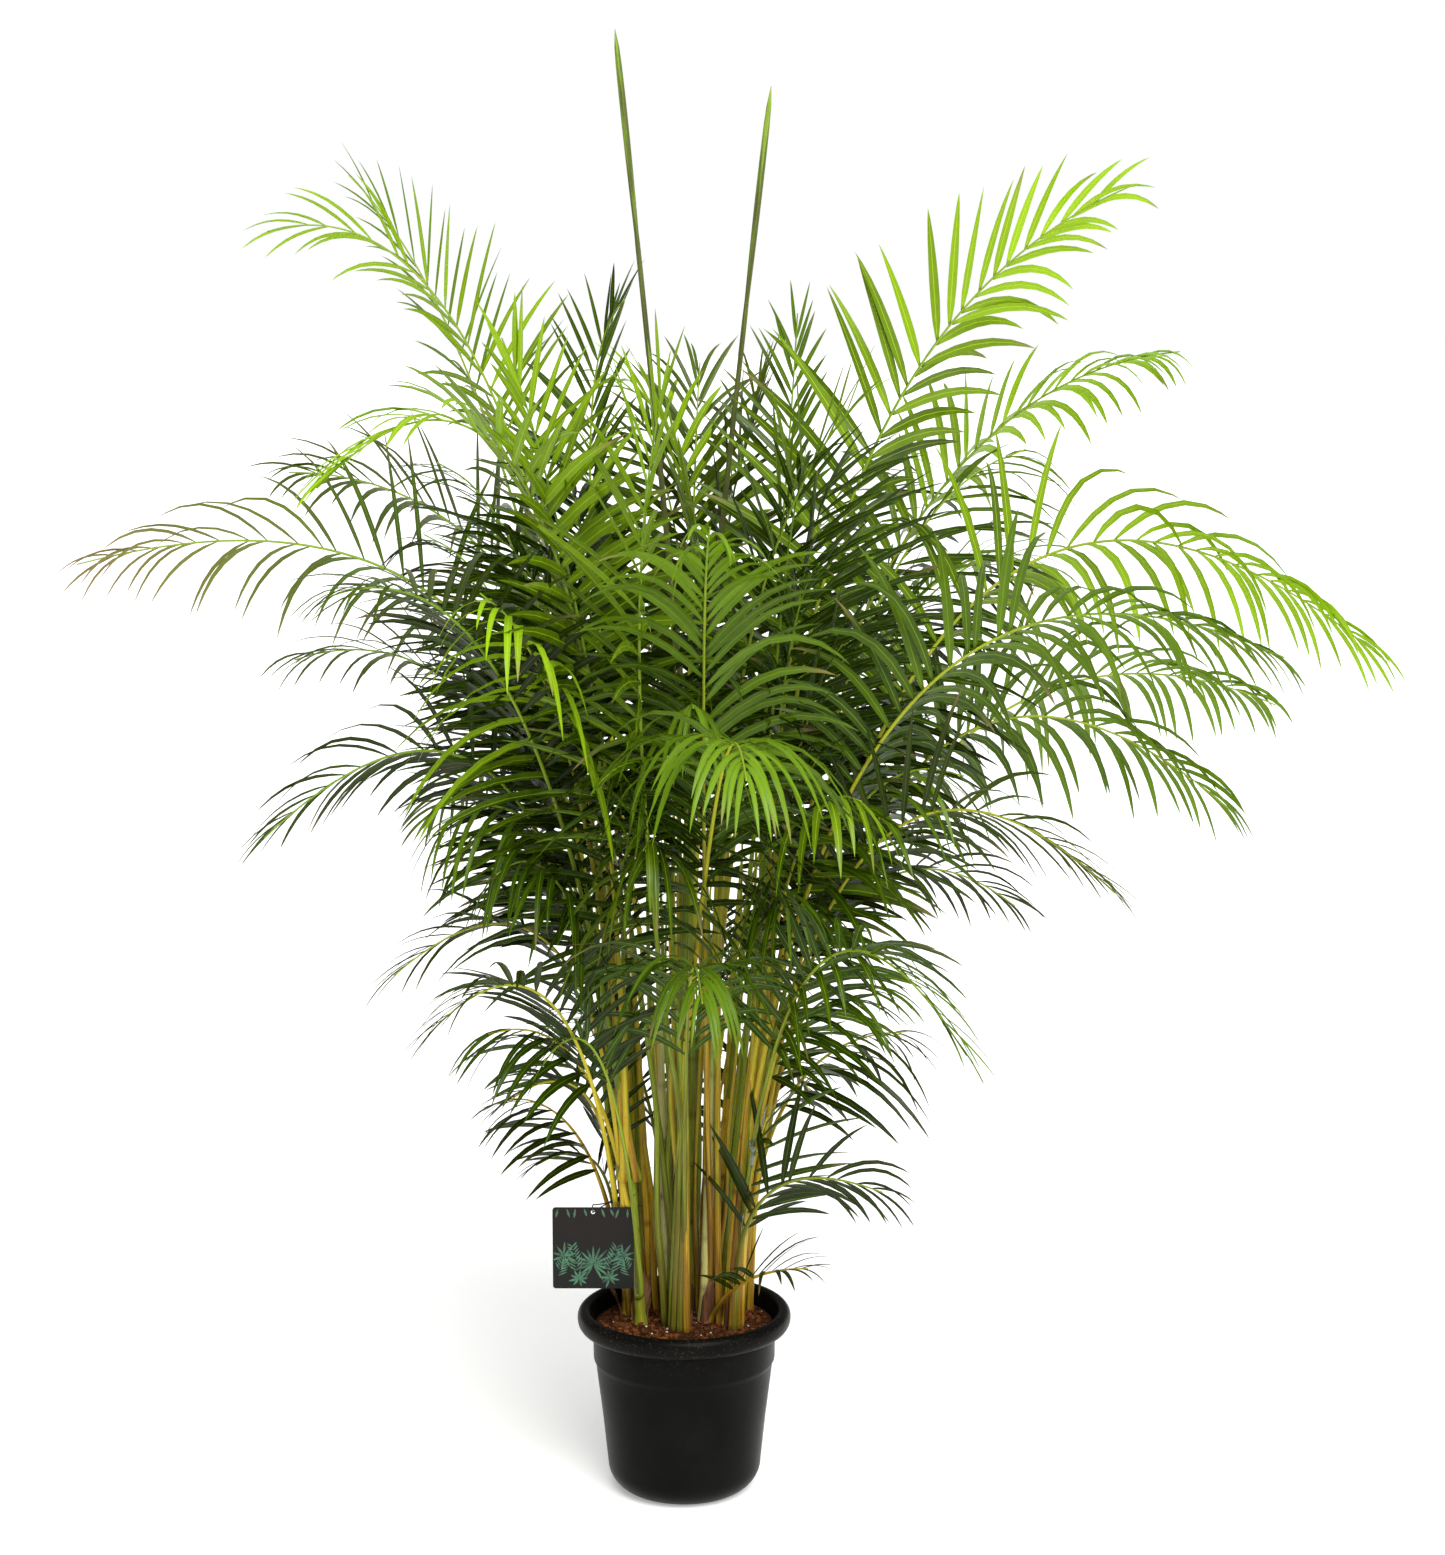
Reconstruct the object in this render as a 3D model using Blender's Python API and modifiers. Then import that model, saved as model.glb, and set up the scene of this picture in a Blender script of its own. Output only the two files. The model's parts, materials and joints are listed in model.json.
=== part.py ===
"""Potted areca palm: a nursery pot with its soil, a clump of canes and their feather fronds.

Metres, +Z up. The origin is the centre of the pot's underside, which stands on z = 0,
and the side that faces the viewer is -Y.
"""
import math

import bmesh
import bpy
from mathutils import Matrix, Vector
from mathutils.bvhtree import BVHTree

# Pot
POT_RIM_DIAMETER = 0.300
POT_HEIGHT = 0.262
POT_WALL = 0.003
RIM_ROLL_HEIGHT = 0.028
FOOT_CORNER_RADIUS = 0.040
DRAIN_HOLE_DIAMETER = 0.014
DRAIN_HOLES = 8
TURN_STEPS = 36

# Soil
SOIL_BELOW_RIM = 0.024
FIT_GAP = 0.0003

# Plant: height of the tallest spear above the soil, reach of the longest frond from the pot's axis
PLANT_HEIGHT = 1.78
PLANT_REACH = 1.00
CANE_DEPTH = 0.060
STALK_HALF = 0.0042
STALK_TIP_HALF = 0.0012
LEAFLET_SPACING = 0.030
MOST_SEGMENTS = 22
CLEARANCE = 0.0004
ARCH_GAP = 0.031

# Hang tag
TAG_WIDTH = 0.113
TAG_HEIGHT = 0.117
TAG_THICKNESS = 0.0010
TAG_HOLE_DIAMETER = 0.006
TIE_RADIUS = 0.0009

SOIL_TOP = POT_HEIGHT - SOIL_BELOW_RIM
RIM_RADIUS = POT_RIM_DIAMETER / 2

# Canes: foot x, foot y in percent of the rim's radius, top x, top y in percent of the reach,
# top height in percent of the plant's height, radius in millimetres
CANES = [
    (-53, 20, -11, 4, 30, 9.5),
    (-41, -8, -9, -4, 26, 8.5),
    (-33, 41, -8, 11, 34, 8.5),
    (-16, 11, -4, 1, 38, 9.5),
    (0, -15, 0, -6, 30, 8.5),
    (7, 31, 1, 7, 42, 9.5),
    (20, 0, 5, -2, 33, 11.0),
    (41, -7, 10, -4, 26, 8.5),
    (50, 21, 13, 4, 31, 9.5),
    (31, 44, 8, 12, 36, 9.0),
    (-9, 57, 0, 15, 34, 8.5),
    (18, 67, 4, 18, 28, 8.0),
]

# Fronds: cane, height of the leaf base; x, y, height half way along; x, y, height of the tip;
# turn of the blade about its stalk in degrees, leaflet length in centimetres, leaf colour.
# Places across are in percent of the reach and heights in percent of the plant's height.
FRONDS = [
    (2, 16, -25, 10, 71, -56, 5, 85, 40, 20, "leaf_bright"),
    (2, 21, -26, 28, 66, -48, 30, 90, 10, 22, "leaf_green"),
    (1, 14, -17, -28, 64, -43, -45, 67, 10, 22, "leaf_bright"),
    (0, 20, -30, 8, 55, -82, 0, 60, 40, 21, "leaf_green"),
    (0, 13, -24, -10, 44, -54, -22, 41, 48, 20, "leaf_dark"),
    (1, 8, -16, -10, 31, -36, -20, 30, 40, 17, "leaf_dark"),
    (0, 6, -16, -20, 28, -31, -35, 28, 35, 16, "leaf_dark"),
    (1, 3, -13, -12, 23, -23, -20, 23, 35, 12, "leaf_green"),
    (0, 3, -12, 4, 12, -21, 5, 12, 0, 9, "leaf_dark"),
    (0, 9, -14, -2, 19, -24, -6, 19, 40, 11, "leaf_dark"),
    (3, 14, -14, -22, 55, -24, -28, 77, 0, 24, "leaf_bright"),
    (2, 13, -26, 20, 45, -57, 28, 51, 20, 21, "leaf_dark"),
    (2, 26, -24, 30, 56, -59, 40, 66, 20, 22, "leaf_dark"),
    (1, 20, -22, -25, 52, -41, -50, 60, 10, 22, "leaf_dark"),
    (4, 17, -5, -30, 52, -1, -42, 75, 0, 26, "leaf_bright"),
    (6, 12, 3, -28, 49, 4, -62, 65, 0, 24, "leaf_green"),
    (6, 24, 9, -15, 55, 23, -25, 73, 20, 23, "leaf_bright"),
    (3, 24, -13, 15, 63, -8, 10, 80, 0, 20, "leaf_green"),
    (10, 22, 1, 30, 59, 2, 50, 75, 0, 25, "leaf_dark"),
    (5, 29, 5, 35, 57, 12, 55, 74, 0, 25, "leaf_dark"),
    (9, 24, 13, 20, 56, 16, 22, 79, 40, 18, "leaf_green"),
    (8, 19, 23, -2, 65, 59, -5, 88, -60, 24, "leaf_bright"),
    (9, 17, 30, 18, 60, 69, 15, 76, -15, 19, "leaf_bright"),
    (8, 13, 41, -2, 58, 94, -8, 53, -48, 21, "leaf_bright"),
    (7, 16, 32, -20, 52, 75, -35, 55, -45, 22, "leaf_green"),
    (9, 12, 40, 20, 45, 87, 32, 47, -40, 20, "leaf_green"),
    (8, 9, 34, 0, 45, 74, -10, 41, -48, 21, "leaf_green"),
    (7, 10, 26, -15, 40, 55, -32, 38, -42, 19, "leaf_dark"),
    (9, 7, 23, 12, 32, 47, 15, 32, -40, 18, "leaf_dark"),
    (7, 6, 18, -18, 31, 36, -38, 27, -35, 17, "leaf_green"),
    (4, 22, 5, -35, 46, 8, -78, 50, 0, 23, "leaf_green"),
    (4, 7, 1, -22, 29, 3, -55, 33, 0, 20, "leaf_green"),
    (7, 2, 12, -8, 12, 27, -14, 13, -72, 14, "leaf_dark"),
    (6, 1, 9, -8, 5, 17, -14, 7, -20, 9, "leaf_dark"),
    (10, 14, -6, 45, 52, -14, 80, 50, 0, 24, "leaf_green"),
    (11, 12, 10, 42, 46, 26, 76, 42, 0, 23, "leaf_green"),
    (10, 9, -18, 34, 40, -42, 60, 34, 10, 22, "leaf_dark"),
    (9, 29, 29, 36, 54, 52, 58, 57, -10, 22, "leaf_green"),
    (11, 6, 4, 34, 27, 8, 64, 22, 0, 19, "leaf_dark"),
    (5, 16, 2, 28, 60, -13, 46, 73, 0, 23, "leaf_bright"),
    (10, 4, -9, 28, 19, -20, 44, 16, 0, 14, "leaf_dark"),
    (11, 3, 11, 25, 16, 19, 37, 13, 0, 13, "leaf_dark"),
]

# Spears, the leaves that are still folded: cane, x, y and height of the tip
SPEARS = [
    (5, -9, 6, 100),
    (10, 12, 10, 96),
]

COLOURS = {
    "pot": ((0.012, 0.012, 0.013), 0.42),
    "soil": ((0.075, 0.028, 0.016), 0.95),
    "cane": ((0.52, 0.36, 0.06), 0.50),
    "leaf_bright": ((0.16, 0.36, 0.03), 0.42),
    "leaf_green": ((0.08, 0.22, 0.02), 0.42),
    "leaf_dark": ((0.035, 0.10, 0.015), 0.42),
    "tag": ((0.016, 0.013, 0.012), 0.35),
    "tie": ((0.02, 0.02, 0.02), 0.50),
}


def clear_scene():
    for obj in list(bpy.data.objects):
        bpy.data.objects.remove(obj, do_unlink=True)


def new_collection(name):
    collection = bpy.data.collections.new(name)
    bpy.context.scene.collection.children.link(collection)
    return collection


def make_materials():
    made = {}
    for name, (colour, roughness) in COLOURS.items():
        material = bpy.data.materials.new(name)
        material.use_nodes = True
        shader = material.node_tree.nodes["Principled BSDF"]
        shader.inputs["Base Color"].default_value = (*colour, 1)
        shader.inputs["Roughness"].default_value = roughness
        shader.inputs["Metallic"].default_value = 0.0
        made[name] = material
    return made


def add_object(name, data, material, collection, parent):
    obj = bpy.data.objects.new(name, data)
    data.materials.clear()
    data.materials.append(material)
    collection.objects.link(obj)
    obj.parent = parent
    return obj


def place(x, y, height):
    """A point of the plant from percents of its reach and of its height above the soil."""
    return Vector((x * PLANT_REACH, y * PLANT_REACH, height * PLANT_HEIGHT)) / 100 + Vector((0, 0, SOIL_TOP))


# ---- pot and soil ----

def arc(centre, radius, start, end, steps):
    points = []
    for i in range(steps + 1):
        angle = math.radians(start + (end - start) * i / steps)
        points.append((centre[0] + radius * math.cos(angle), centre[1] + radius * math.sin(angle)))
    return points


def wall_line(inset):
    """The pot's side below the rim, foot to shoulder, moved inwards by inset."""
    r = RIM_RADIUS
    h = POT_HEIGHT
    corner = FOOT_CORNER_RADIUS
    centre = (0.72 * r - corner, corner)
    line = arc(centre, corner - inset, -90, 0, 5)
    line += [
        (0.765 * r - inset, 0.40 * h),
        (0.815 * r - inset, 0.63 * h),
        (0.830 * r - inset, 0.70 * h),
        (0.850 * r - inset, 0.73 * h),
        (0.855 * r - inset, 0.87 * h),
    ]
    return line


def turned(name, profile, material, collection, parent):
    """A solid of revolution; the profile runs up the inside, over the top and down the outside."""
    mesh = bpy.data.meshes.new(name)
    points = [(r, 0, z) for r, z in profile]
    mesh.from_pydata(points, [(i, i + 1) for i in range(len(points) - 1)], [])
    obj = add_object(name, mesh, material, collection, parent)
    screw = obj.modifiers.new("Turn", "SCREW")
    screw.axis = "Z"
    screw.steps = TURN_STEPS
    screw.render_steps = TURN_STEPS
    screw.use_merge_vertices = True
    screw.merge_threshold = 0.00005
    return obj


def rim_line():
    """The rolled rim, from the inner lip over the top to the step under the roll."""
    r = RIM_RADIUS
    top = POT_HEIGHT
    roll = RIM_ROLL_HEIGHT
    half = 0.060 * r
    return [
        (r - 2.10 * half, top - 0.36 * roll),
        (r - 1.85 * half, top - 0.11 * roll),
        (r - 1.30 * half, top),
        (r - 0.65 * half, top - 0.04 * roll),
        (r - 0.15 * half, top - 0.22 * roll),
        (r, top - 0.48 * roll),
        (r - 0.15 * half, top - 0.76 * roll),
        (r - 0.60 * half, top - 0.96 * roll),
        (r - 1.20 * half, top - roll),
    ]


def add_pot(material, collection, cutters, parent):
    inside = wall_line(POT_WALL)
    outside = wall_line(0)
    profile = [(0, POT_WALL)] + inside + rim_line() + outside[::-1] + [(0, 0)]
    pot = turned("pot", profile, material, collection, parent)
    for i in range(DRAIN_HOLES):
        angle = 2 * math.pi * (i + 0.5) / DRAIN_HOLES
        bpy.ops.mesh.primitive_cylinder_add(
            vertices=12,
            radius=DRAIN_HOLE_DIAMETER / 2,
            depth=0.05,
            location=(0.50 * RIM_RADIUS * math.cos(angle), 0.50 * RIM_RADIUS * math.sin(angle), 0),
        )
        cut_with(pot, bpy.context.object, cutters, f"drain_{i + 1}")
    return pot


def cut_with(obj, cutter, cutters, name):
    cutter.name = f"cutter_{name}"
    for collection in list(cutter.users_collection):
        collection.objects.unlink(cutter)
    cutters.objects.link(cutter)
    cutter.hide_render = True
    cutter.display_type = "WIRE"
    modifier = obj.modifiers.new(name, "BOOLEAN")
    modifier.operation = "DIFFERENCE"
    modifier.solver = "EXACT"
    modifier.object = cutter


def cane_foot(cane):
    return Vector((cane[0] * RIM_RADIUS, cane[1] * RIM_RADIUS, 0)) / 100


def add_soil(material, collection, cutters, parent):
    inside = [p for p in wall_line(POT_WALL + FIT_GAP) if p[1] < SOIL_TOP - 0.004]
    last_r = inside[-1][0]
    profile = [(0, SOIL_TOP), (0.80 * last_r, SOIL_TOP), (last_r, SOIL_TOP - 0.003)]
    profile += inside[::-1] + [(0, POT_WALL + FIT_GAP)]
    soil = turned("soil", profile, material, collection, parent)
    for i, cane in enumerate(CANES):
        foot = cane_foot(cane)
        depth = 2 * (CANE_DEPTH + FIT_GAP)
        bpy.ops.mesh.primitive_cylinder_add(
            vertices=12,
            radius=(cane[5] / 1000 + FIT_GAP) / math.cos(math.pi / 12),
            depth=depth,
            location=(foot.x, foot.y, SOIL_TOP),
        )
        cut_with(soil, bpy.context.object, cutters, f"socket_{i + 1}")
    return soil


# ---- canes and spears ----

def cane_point(cane, height):
    """A point on the cane's centre line at a height in percent of the plant's height."""
    foot = cane_foot(cane)
    top = place(cane[2], cane[3], cane[4])
    share = min(1.0, max(0.0, height / cane[4]))
    point = foot.lerp(top, share ** 1.3)
    point.z = SOIL_TOP + share * (top.z - SOIL_TOP)
    return point


def cane_radius(cane, height):
    return cane[5] / 1000 * (1 - 0.40 * min(1.0, height / cane[4]))


def add_rod(name, points, radii, material, collection, parent, cyclic=False):
    """A round rod through the points, tapering with the radii."""
    curve = bpy.data.curves.new(name, "CURVE")
    curve.dimensions = "3D"
    curve.bevel_depth = max(radii)
    curve.bevel_resolution = 2
    curve.use_fill_caps = not cyclic
    spline = curve.splines.new("POLY")
    spline.points.add(len(points) - 1)
    spline.use_cyclic_u = cyclic
    for spot, point, radius in zip(spline.points, points, radii):
        spot.co = (*point, 1)
        spot.radius = radius / max(radii)
    return add_object(name, curve, material, collection, parent)


def add_canes(material, collection, parent):
    made = []
    for i, cane in enumerate(CANES):
        foot = cane_foot(cane)
        points = [Vector((foot.x, foot.y, SOIL_TOP - CANE_DEPTH)), Vector((foot.x, foot.y, SOIL_TOP + 0.004))]
        radii = [cane[5] / 1000, cane[5] / 1000]
        for share in (0.22, 0.5, 0.78, 1.0):
            points.append(cane_point(cane, share * cane[4]))
            radii.append(cane_radius(cane, share * cane[4]))
        made.append(add_rod(f"cane_{i + 1:02d}", points, radii, material, collection, parent))
    return made


def add_spears(material, collection, parent):
    made = []
    for i, (number, x, y, height) in enumerate(SPEARS):
        cane = CANES[number]
        top = cane_point(cane, cane[4])
        lean = (top - cane_point(cane, cane[4] * 0.9)).normalized()
        start = top + lean * 0.0010
        tip = place(x, y, height)
        bend = start.lerp(tip, 0.5) + lean * 0.04 * (tip - start).length
        points = []
        for k in range(9):
            t = k / 8
            points.append(start * (1 - t) ** 2 + bend * 2 * t * (1 - t) + tip * t * t)
        radii = [0.0042, 0.0048, 0.0046, 0.0042, 0.0038, 0.0034, 0.0034, 0.0042, 0.0012]
        made.append(add_rod(f"spear_{i + 1:02d}", points, radii, material, collection, parent))
    return made


# ---- hang tag ----

def tag_hole():
    return Vector((-0.84 * RIM_RADIUS, -0.03, POT_HEIGHT + 0.036 + TAG_HEIGHT - 0.007))


def add_tag(material, collection, cutters, parent):
    hole = tag_hole()
    mesh = bpy.data.meshes.new("hang_tag")
    bm = bmesh.new()
    bmesh.ops.create_cube(bm, size=1)
    bmesh.ops.scale(bm, vec=(TAG_WIDTH, TAG_THICKNESS, TAG_HEIGHT), verts=bm.verts)
    corners = [e for e in bm.edges if abs((e.verts[0].co - e.verts[1].co).y) > TAG_THICKNESS / 2]
    bmesh.ops.bevel(bm, geom=corners, offset=0.004, segments=3, profile=0.5, affect="EDGES", material=-1)
    bm.to_mesh(mesh)
    bm.free()
    tag = add_object("hang_tag", mesh, material, collection, parent)
    tag.location = (hole.x, hole.y, hole.z + 0.007 - TAG_HEIGHT / 2)
    bpy.ops.mesh.primitive_cylinder_add(
        vertices=12,
        radius=TAG_HOLE_DIAMETER / 2,
        depth=0.02,
        location=hole,
        rotation=(math.pi / 2, 0, 0),
    )
    cut_with(tag, bpy.context.object, cutters, "tag_hole")
    return tag


def smooth_loop(points, steps):
    """A closed Catmull-Rom line through the points."""
    line = []
    count = len(points)
    for i in range(count):
        a, b, c, d = (points[(i + k - 1) % count] for k in range(4))
        for s in range(steps):
            t = s / steps
            line.append(
                0.5 * (2 * b + (c - a) * t + (2 * a - 5 * b + 4 * c - d) * t * t
                       + (3 * b - a - 3 * c + d) * t ** 3)
            )
    return line


def add_tie(material, collection, parent):
    """A cord loop through the tag's hole, over its top edge and round the nearest cane."""
    hole = tag_hole()
    height = (hole.z - SOIL_TOP) / PLANT_HEIGHT * 100
    cane = cane_point(CANES[0], height)
    wrap = cane_radius(CANES[0], height) + TIE_RADIUS + 0.0016
    along = Vector((cane.x - hole.x, cane.y - hole.y, 0)).normalized()
    across = Vector((along.y, -along.x, 0))
    points = [
        hole + Vector((0, -0.0042, 0.0030)),
        hole + Vector((0, 0, -0.0004)),
        hole + along * 0.012 - across * 0.002,
        cane - along * 0.6 * wrap - across * 0.95 * wrap,
        cane - across * 1.02 * wrap + along * 0.3 * wrap,
        cane + along * 1.02 * wrap,
        cane + across * 1.02 * wrap + along * 0.3 * wrap,
        cane - along * 0.6 * wrap + across * 0.95 * wrap + Vector((0, 0, 0.002)),
        hole + along * 0.012 + across * 0.002 + Vector((0, 0, 0.0085)),
        hole + Vector((0, -0.0006, 0.0105)),
    ]
    line = smooth_loop(points, 3)
    return add_rod("tag_tie", line, [TIE_RADIUS] * len(line), material, collection, parent, cyclic=True)


# ---- fronds ----

class Curve:
    """A flat arch from the leaf base through a middle point to the tip, measured along its length."""

    def __init__(self, base, middle, tip):
        bend = 2 * middle - (base + tip) / 2
        self.line = []
        for i in range(81):
            t = i / 80
            self.line.append(base * (1 - t) ** 2 + bend * 2 * t * (1 - t) + tip * t * t)
        self.marks = [0.0]
        for a, b in zip(self.line, self.line[1:]):
            self.marks.append(self.marks[-1] + (b - a).length)
        self.length = self.marks[-1]
        side = (bend - base).cross(tip - bend)
        if side.length < 1e-4:
            side = Vector((0, 0, 1)).cross(tip - base)
        side.normalize()
        middle_way = (self.line[41] - self.line[39]).normalized()
        if side.cross(middle_way).z < 0:
            side = -side
        self.side = side

    def at(self, share):
        """Point, direction at a share of the length."""
        want = share * self.length
        i = 0
        while i < 79 and self.marks[i + 1] < want:
            i += 1
        step = self.marks[i + 1] - self.marks[i]
        point = self.line[i].lerp(self.line[i + 1], (want - self.marks[i]) / step)
        low = max(0, i - 1)
        high = min(80, i + 2)
        return point, (self.line[high] - self.line[low]).normalized()


def stalk_stations(curve, roll, leafy, segments):
    """Centre, side, up and half width of each square section along the stalk."""
    shares = [0.0, 0.25 * leafy, 0.55 * leafy, 0.80 * leafy]
    shares += [leafy + (1 - leafy) * i / segments for i in range(segments + 1)]
    stations = []
    for share in shares:
        point, way = curve.at(share)
        turn = Matrix.Rotation(math.radians(roll) * min(1.0, share / leafy), 3, way)
        side = turn @ curve.side
        up = side.cross(way)
        half = STALK_HALF + (STALK_TIP_HALF - STALK_HALF) * share ** 0.8
        stations.append((point, side, up, half))
    return stations


def section(station, extra=0.0):
    point, side, up, half = station
    half = half + extra
    return [
        point + side * half + up * half,
        point - side * half + up * half,
        point - side * half - up * half,
        point + side * half - up * half,
    ]


def face_outwards(bm):
    bmesh.ops.recalc_face_normals(bm, faces=bm.faces)
    if bm.calc_volume(signed=True) < 0:
        bmesh.ops.reverse_faces(bm, faces=bm.faces)
    bm.normal_update()


def grow_stalk(bm, stations, extra=0.0):
    """Extrude one square face from section to section; gives the corners of each section."""
    bmesh.ops.create_grid(bm, x_segments=1, y_segments=1, size=1)
    cap = bm.faces[:][0]
    rings = []
    for i, station in enumerate(stations):
        if i:
            last = cap
            grown = bmesh.ops.extrude_face_region(bm, geom=[last])["geom"]
            cap = [g for g in grown if isinstance(g, bmesh.types.BMFace)][0]
            if i > 1:
                bmesh.ops.delete(bm, geom=[last], context="FACES_ONLY")
        corners = list(cap.verts)
        for corner, spot in zip(corners, section(station, extra)):
            corner.co = spot
        rings.append(corners)
    face_outwards(bm)
    return rings


def polygons(bm):
    bm.verts.index_update()
    return [v.co.copy() for v in bm.verts], [[v.index for v in f.verts] for f in bm.faces]


class Room:
    """What is already standing, so that the next piece can be tested against it."""

    def __init__(self):
        self.verts = []
        self.faces = []
        self.tree = None

    def add(self, verts, faces):
        start = len(self.verts)
        self.verts += verts
        self.faces += [[i + start for i in face] for face in faces]
        self.tree = None

    def is_free(self, verts, faces):
        if self.tree is None:
            self.tree = BVHTree.FromPolygons(self.verts, self.faces)
        return not self.tree.overlap(BVHTree.FromPolygons(verts, faces))


def room_from(objects):
    room = Room()
    bpy.context.view_layer.update()
    depsgraph = bpy.context.evaluated_depsgraph_get()
    for obj in objects:
        shaped = obj.evaluated_get(depsgraph)
        mesh = shaped.to_mesh()
        verts = [obj.matrix_world @ v.co for v in mesh.vertices]
        room.add(verts, [list(p.vertices) for p in mesh.polygons])
        shaped.to_mesh_clear()
    return room


def plan_frond(row):
    """The frond's arch for each turn about its cane and each height on it, nearest first.

    The arch's middle stays ARCH_GAP clear of the frond's own cane.
    """
    cane = CANES[row[0]]
    middle = place(row[2], row[3], row[4])
    tip = place(row[5], row[6], row[7])
    beside = cane_point(cane, row[4])
    out = Vector((middle.x - beside.x, middle.y - beside.y, 0))
    if out.length < ARCH_GAP:
        middle += out.normalized() * (ARCH_GAP - out.length)
    for follow in (0.22, 0.6, 1.0):
        for lift in range(0, 24, 2):
            height = row[1] + lift
            heart = cane_point(cane, height)
            away = Vector((middle.x - heart.x, middle.y - heart.y, 0)).normalized()
            stand_off = cane_radius(cane, height) + 1.42 * STALK_HALF + 3 * CLEARANCE
            for step in range(0, 31):
                turn = math.radians((step + 1) // 2 * (6 if step % 2 else -6))
                spin = Matrix.Rotation(turn, 3, "Z")
                small = Matrix.Rotation(turn * follow, 3, "Z")
                base = heart + spin @ away * stand_off
                yield Curve(base, heart + small @ (middle - heart), heart + small @ (tip - heart))


def frond_shape(row, curve):
    leafy = 0.40 if curve.length > 0.6 else 0.32
    segments = int(curve.length * (1 - leafy) / LEAFLET_SPACING)
    segments = max(8, min(MOST_SEGMENTS, segments))
    return leafy, segments, stalk_stations(curve, row[8], leafy, segments)


def place_stalks(room):
    """Find each frond's arch, so that no stalk runs into a cane or another stalk."""
    placed = []
    for row in FRONDS:
        best = None
        for curve in plan_frond(row):
            leafy, segments, stations = frond_shape(row, curve)
            probe = bmesh.new()
            grow_stalk(probe, stations, CLEARANCE)
            verts, faces = polygons(probe)
            probe.free()
            if room.is_free(verts, faces):
                best = (curve, leafy, segments, stations, verts, faces)
                break
        if best is None:
            raise RuntimeError(f"no room for the frond {row}")
        room.add(best[4], best[5])
        placed.append(best)
    return placed


def leaflet_growth(share):
    """Leaflets are longest a third of the way along the leafy part and short at its tip."""
    if share < 0.35:
        return 0.72 + 0.28 * share / 0.35
    return 1 - 0.66 * ((share - 0.35) / 0.65) ** 1.2


def leaflet_tips(point, way, side, up, length, share):
    """Places to try for a leaflet's tip, the natural one first."""
    sweep = math.radians(38 + 30 * share)
    for scale in (1.0, 0.8, 0.6, 0.45):
        for swing in (0, 12, -12, 24, -24):
            angle = sweep + math.radians(swing)
            for lift in (0.22, 0.45, 0.02):
                aim = side * math.cos(angle) + way * math.sin(angle) + up * lift
                tip = point + aim.normalized() * length * scale * 0.92
                tip.z -= length * scale * (0.24 - 0.2 * lift)
                yield tip


def spike(corners, tip, extra):
    """A thin pyramid on a stalk's side face, a little larger than the leaflet it tests for."""
    heart = sum(corners, Vector()) / 4
    wide = [c + (c - heart).normalized() * extra for c in corners]
    far = tip + (tip - heart).normalized() * 2 * extra
    start = [w + (tip - heart).normalized() * 0.0008 for w in wide]
    return start + [far], [[0, 1, 4], [1, 2, 4], [2, 3, 4], [3, 0, 4]]


def add_frond(name, row, planned, others, material, collection, parent):
    """A stalk with leaflets left and right by turns, each pulled out of the stalk's own side."""
    curve, leafy, segments, stations = planned[:4]
    bm = bmesh.new()
    rings = grow_stalk(bm, stations)
    first = len(stations) - segments - 1
    for i in range(segments):
        low = rings[first + i]
        high = rings[first + i + 1]
        hand = 1 if i % 2 == 0 else -1
        here = (stations[first + i][0] + stations[first + i + 1][0]) / 2
        way = (stations[first + i + 1][0] - stations[first + i][0]).normalized()
        side = stations[first + i][1] * hand
        ring = set(low) | set(high)
        walls = [f for f in low[0].link_faces[:] + low[1].link_faces[:] + low[2].link_faces[:]
                 if set(f.verts) <= ring and f.normal.dot(side) > 0.7]
        if not walls:
            continue
        face = walls[0]
        share = (i + 0.5) / segments
        length = row[9] / 100 * leaflet_growth(share)
        corners = [v.co.copy() for v in face.verts]
        for tip in leaflet_tips(here, way, side, stations[first + i][2], length, share):
            verts, faces = spike(corners, tip, CLEARANCE)
            if others.is_free(verts, faces):
                centre = bmesh.ops.poke(bm, faces=[face], offset=0, center_mode="MEAN")["verts"][0]
                centre.co = tip
                break
    face_outwards(bm)
    mesh = bpy.data.meshes.new(name)
    shape = polygons(bm)
    bm.to_mesh(mesh)
    bm.free()
    return add_object(name, mesh, material, collection, parent), shape


def add_fronds(room, materials, collection, parent):
    fixed = Room()
    fixed.add(list(room.verts), list(room.faces))
    placed = place_stalks(room)
    done = []
    for i, (row, planned) in enumerate(zip(FRONDS, placed)):
        others = Room()
        others.add(list(fixed.verts), list(fixed.faces))
        for k, other in enumerate(placed):
            if k != i:
                others.add(*(done[k] if k < i else other[4:6]))
        name = f"frond_{i + 1:02d}"
        _, shape = add_frond(name, row, planned, others, materials[row[10]], collection, parent)
        done.append(shape)


def build():
    clear_scene()
    collection = new_collection("potted_palm")
    cutters = new_collection("cutters")
    materials = make_materials()
    root = bpy.data.objects.new("potted_palm", None)
    collection.objects.link(root)
    pot = add_pot(materials["pot"], collection, cutters, root)
    soil = add_soil(materials["soil"], collection, cutters, root)
    canes = add_canes(materials["cane"], collection, root)
    spears = add_spears(materials["leaf_green"], collection, root)
    tag = add_tag(materials["tag"], collection, cutters, root)
    tie = add_tie(materials["tie"], collection, root)
    room = room_from([pot, soil, tag, tie] + canes + spears)
    add_fronds(room, materials, collection, root)


build()
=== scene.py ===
"""Potted palm: grows feather fronds, sheathed canes, potting soil and a nursery pot on a fixed frame."""
import bisect
import itertools
import json
import math
import random

import bmesh
import bpy
from mathutils import Matrix, Vector, noise


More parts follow.
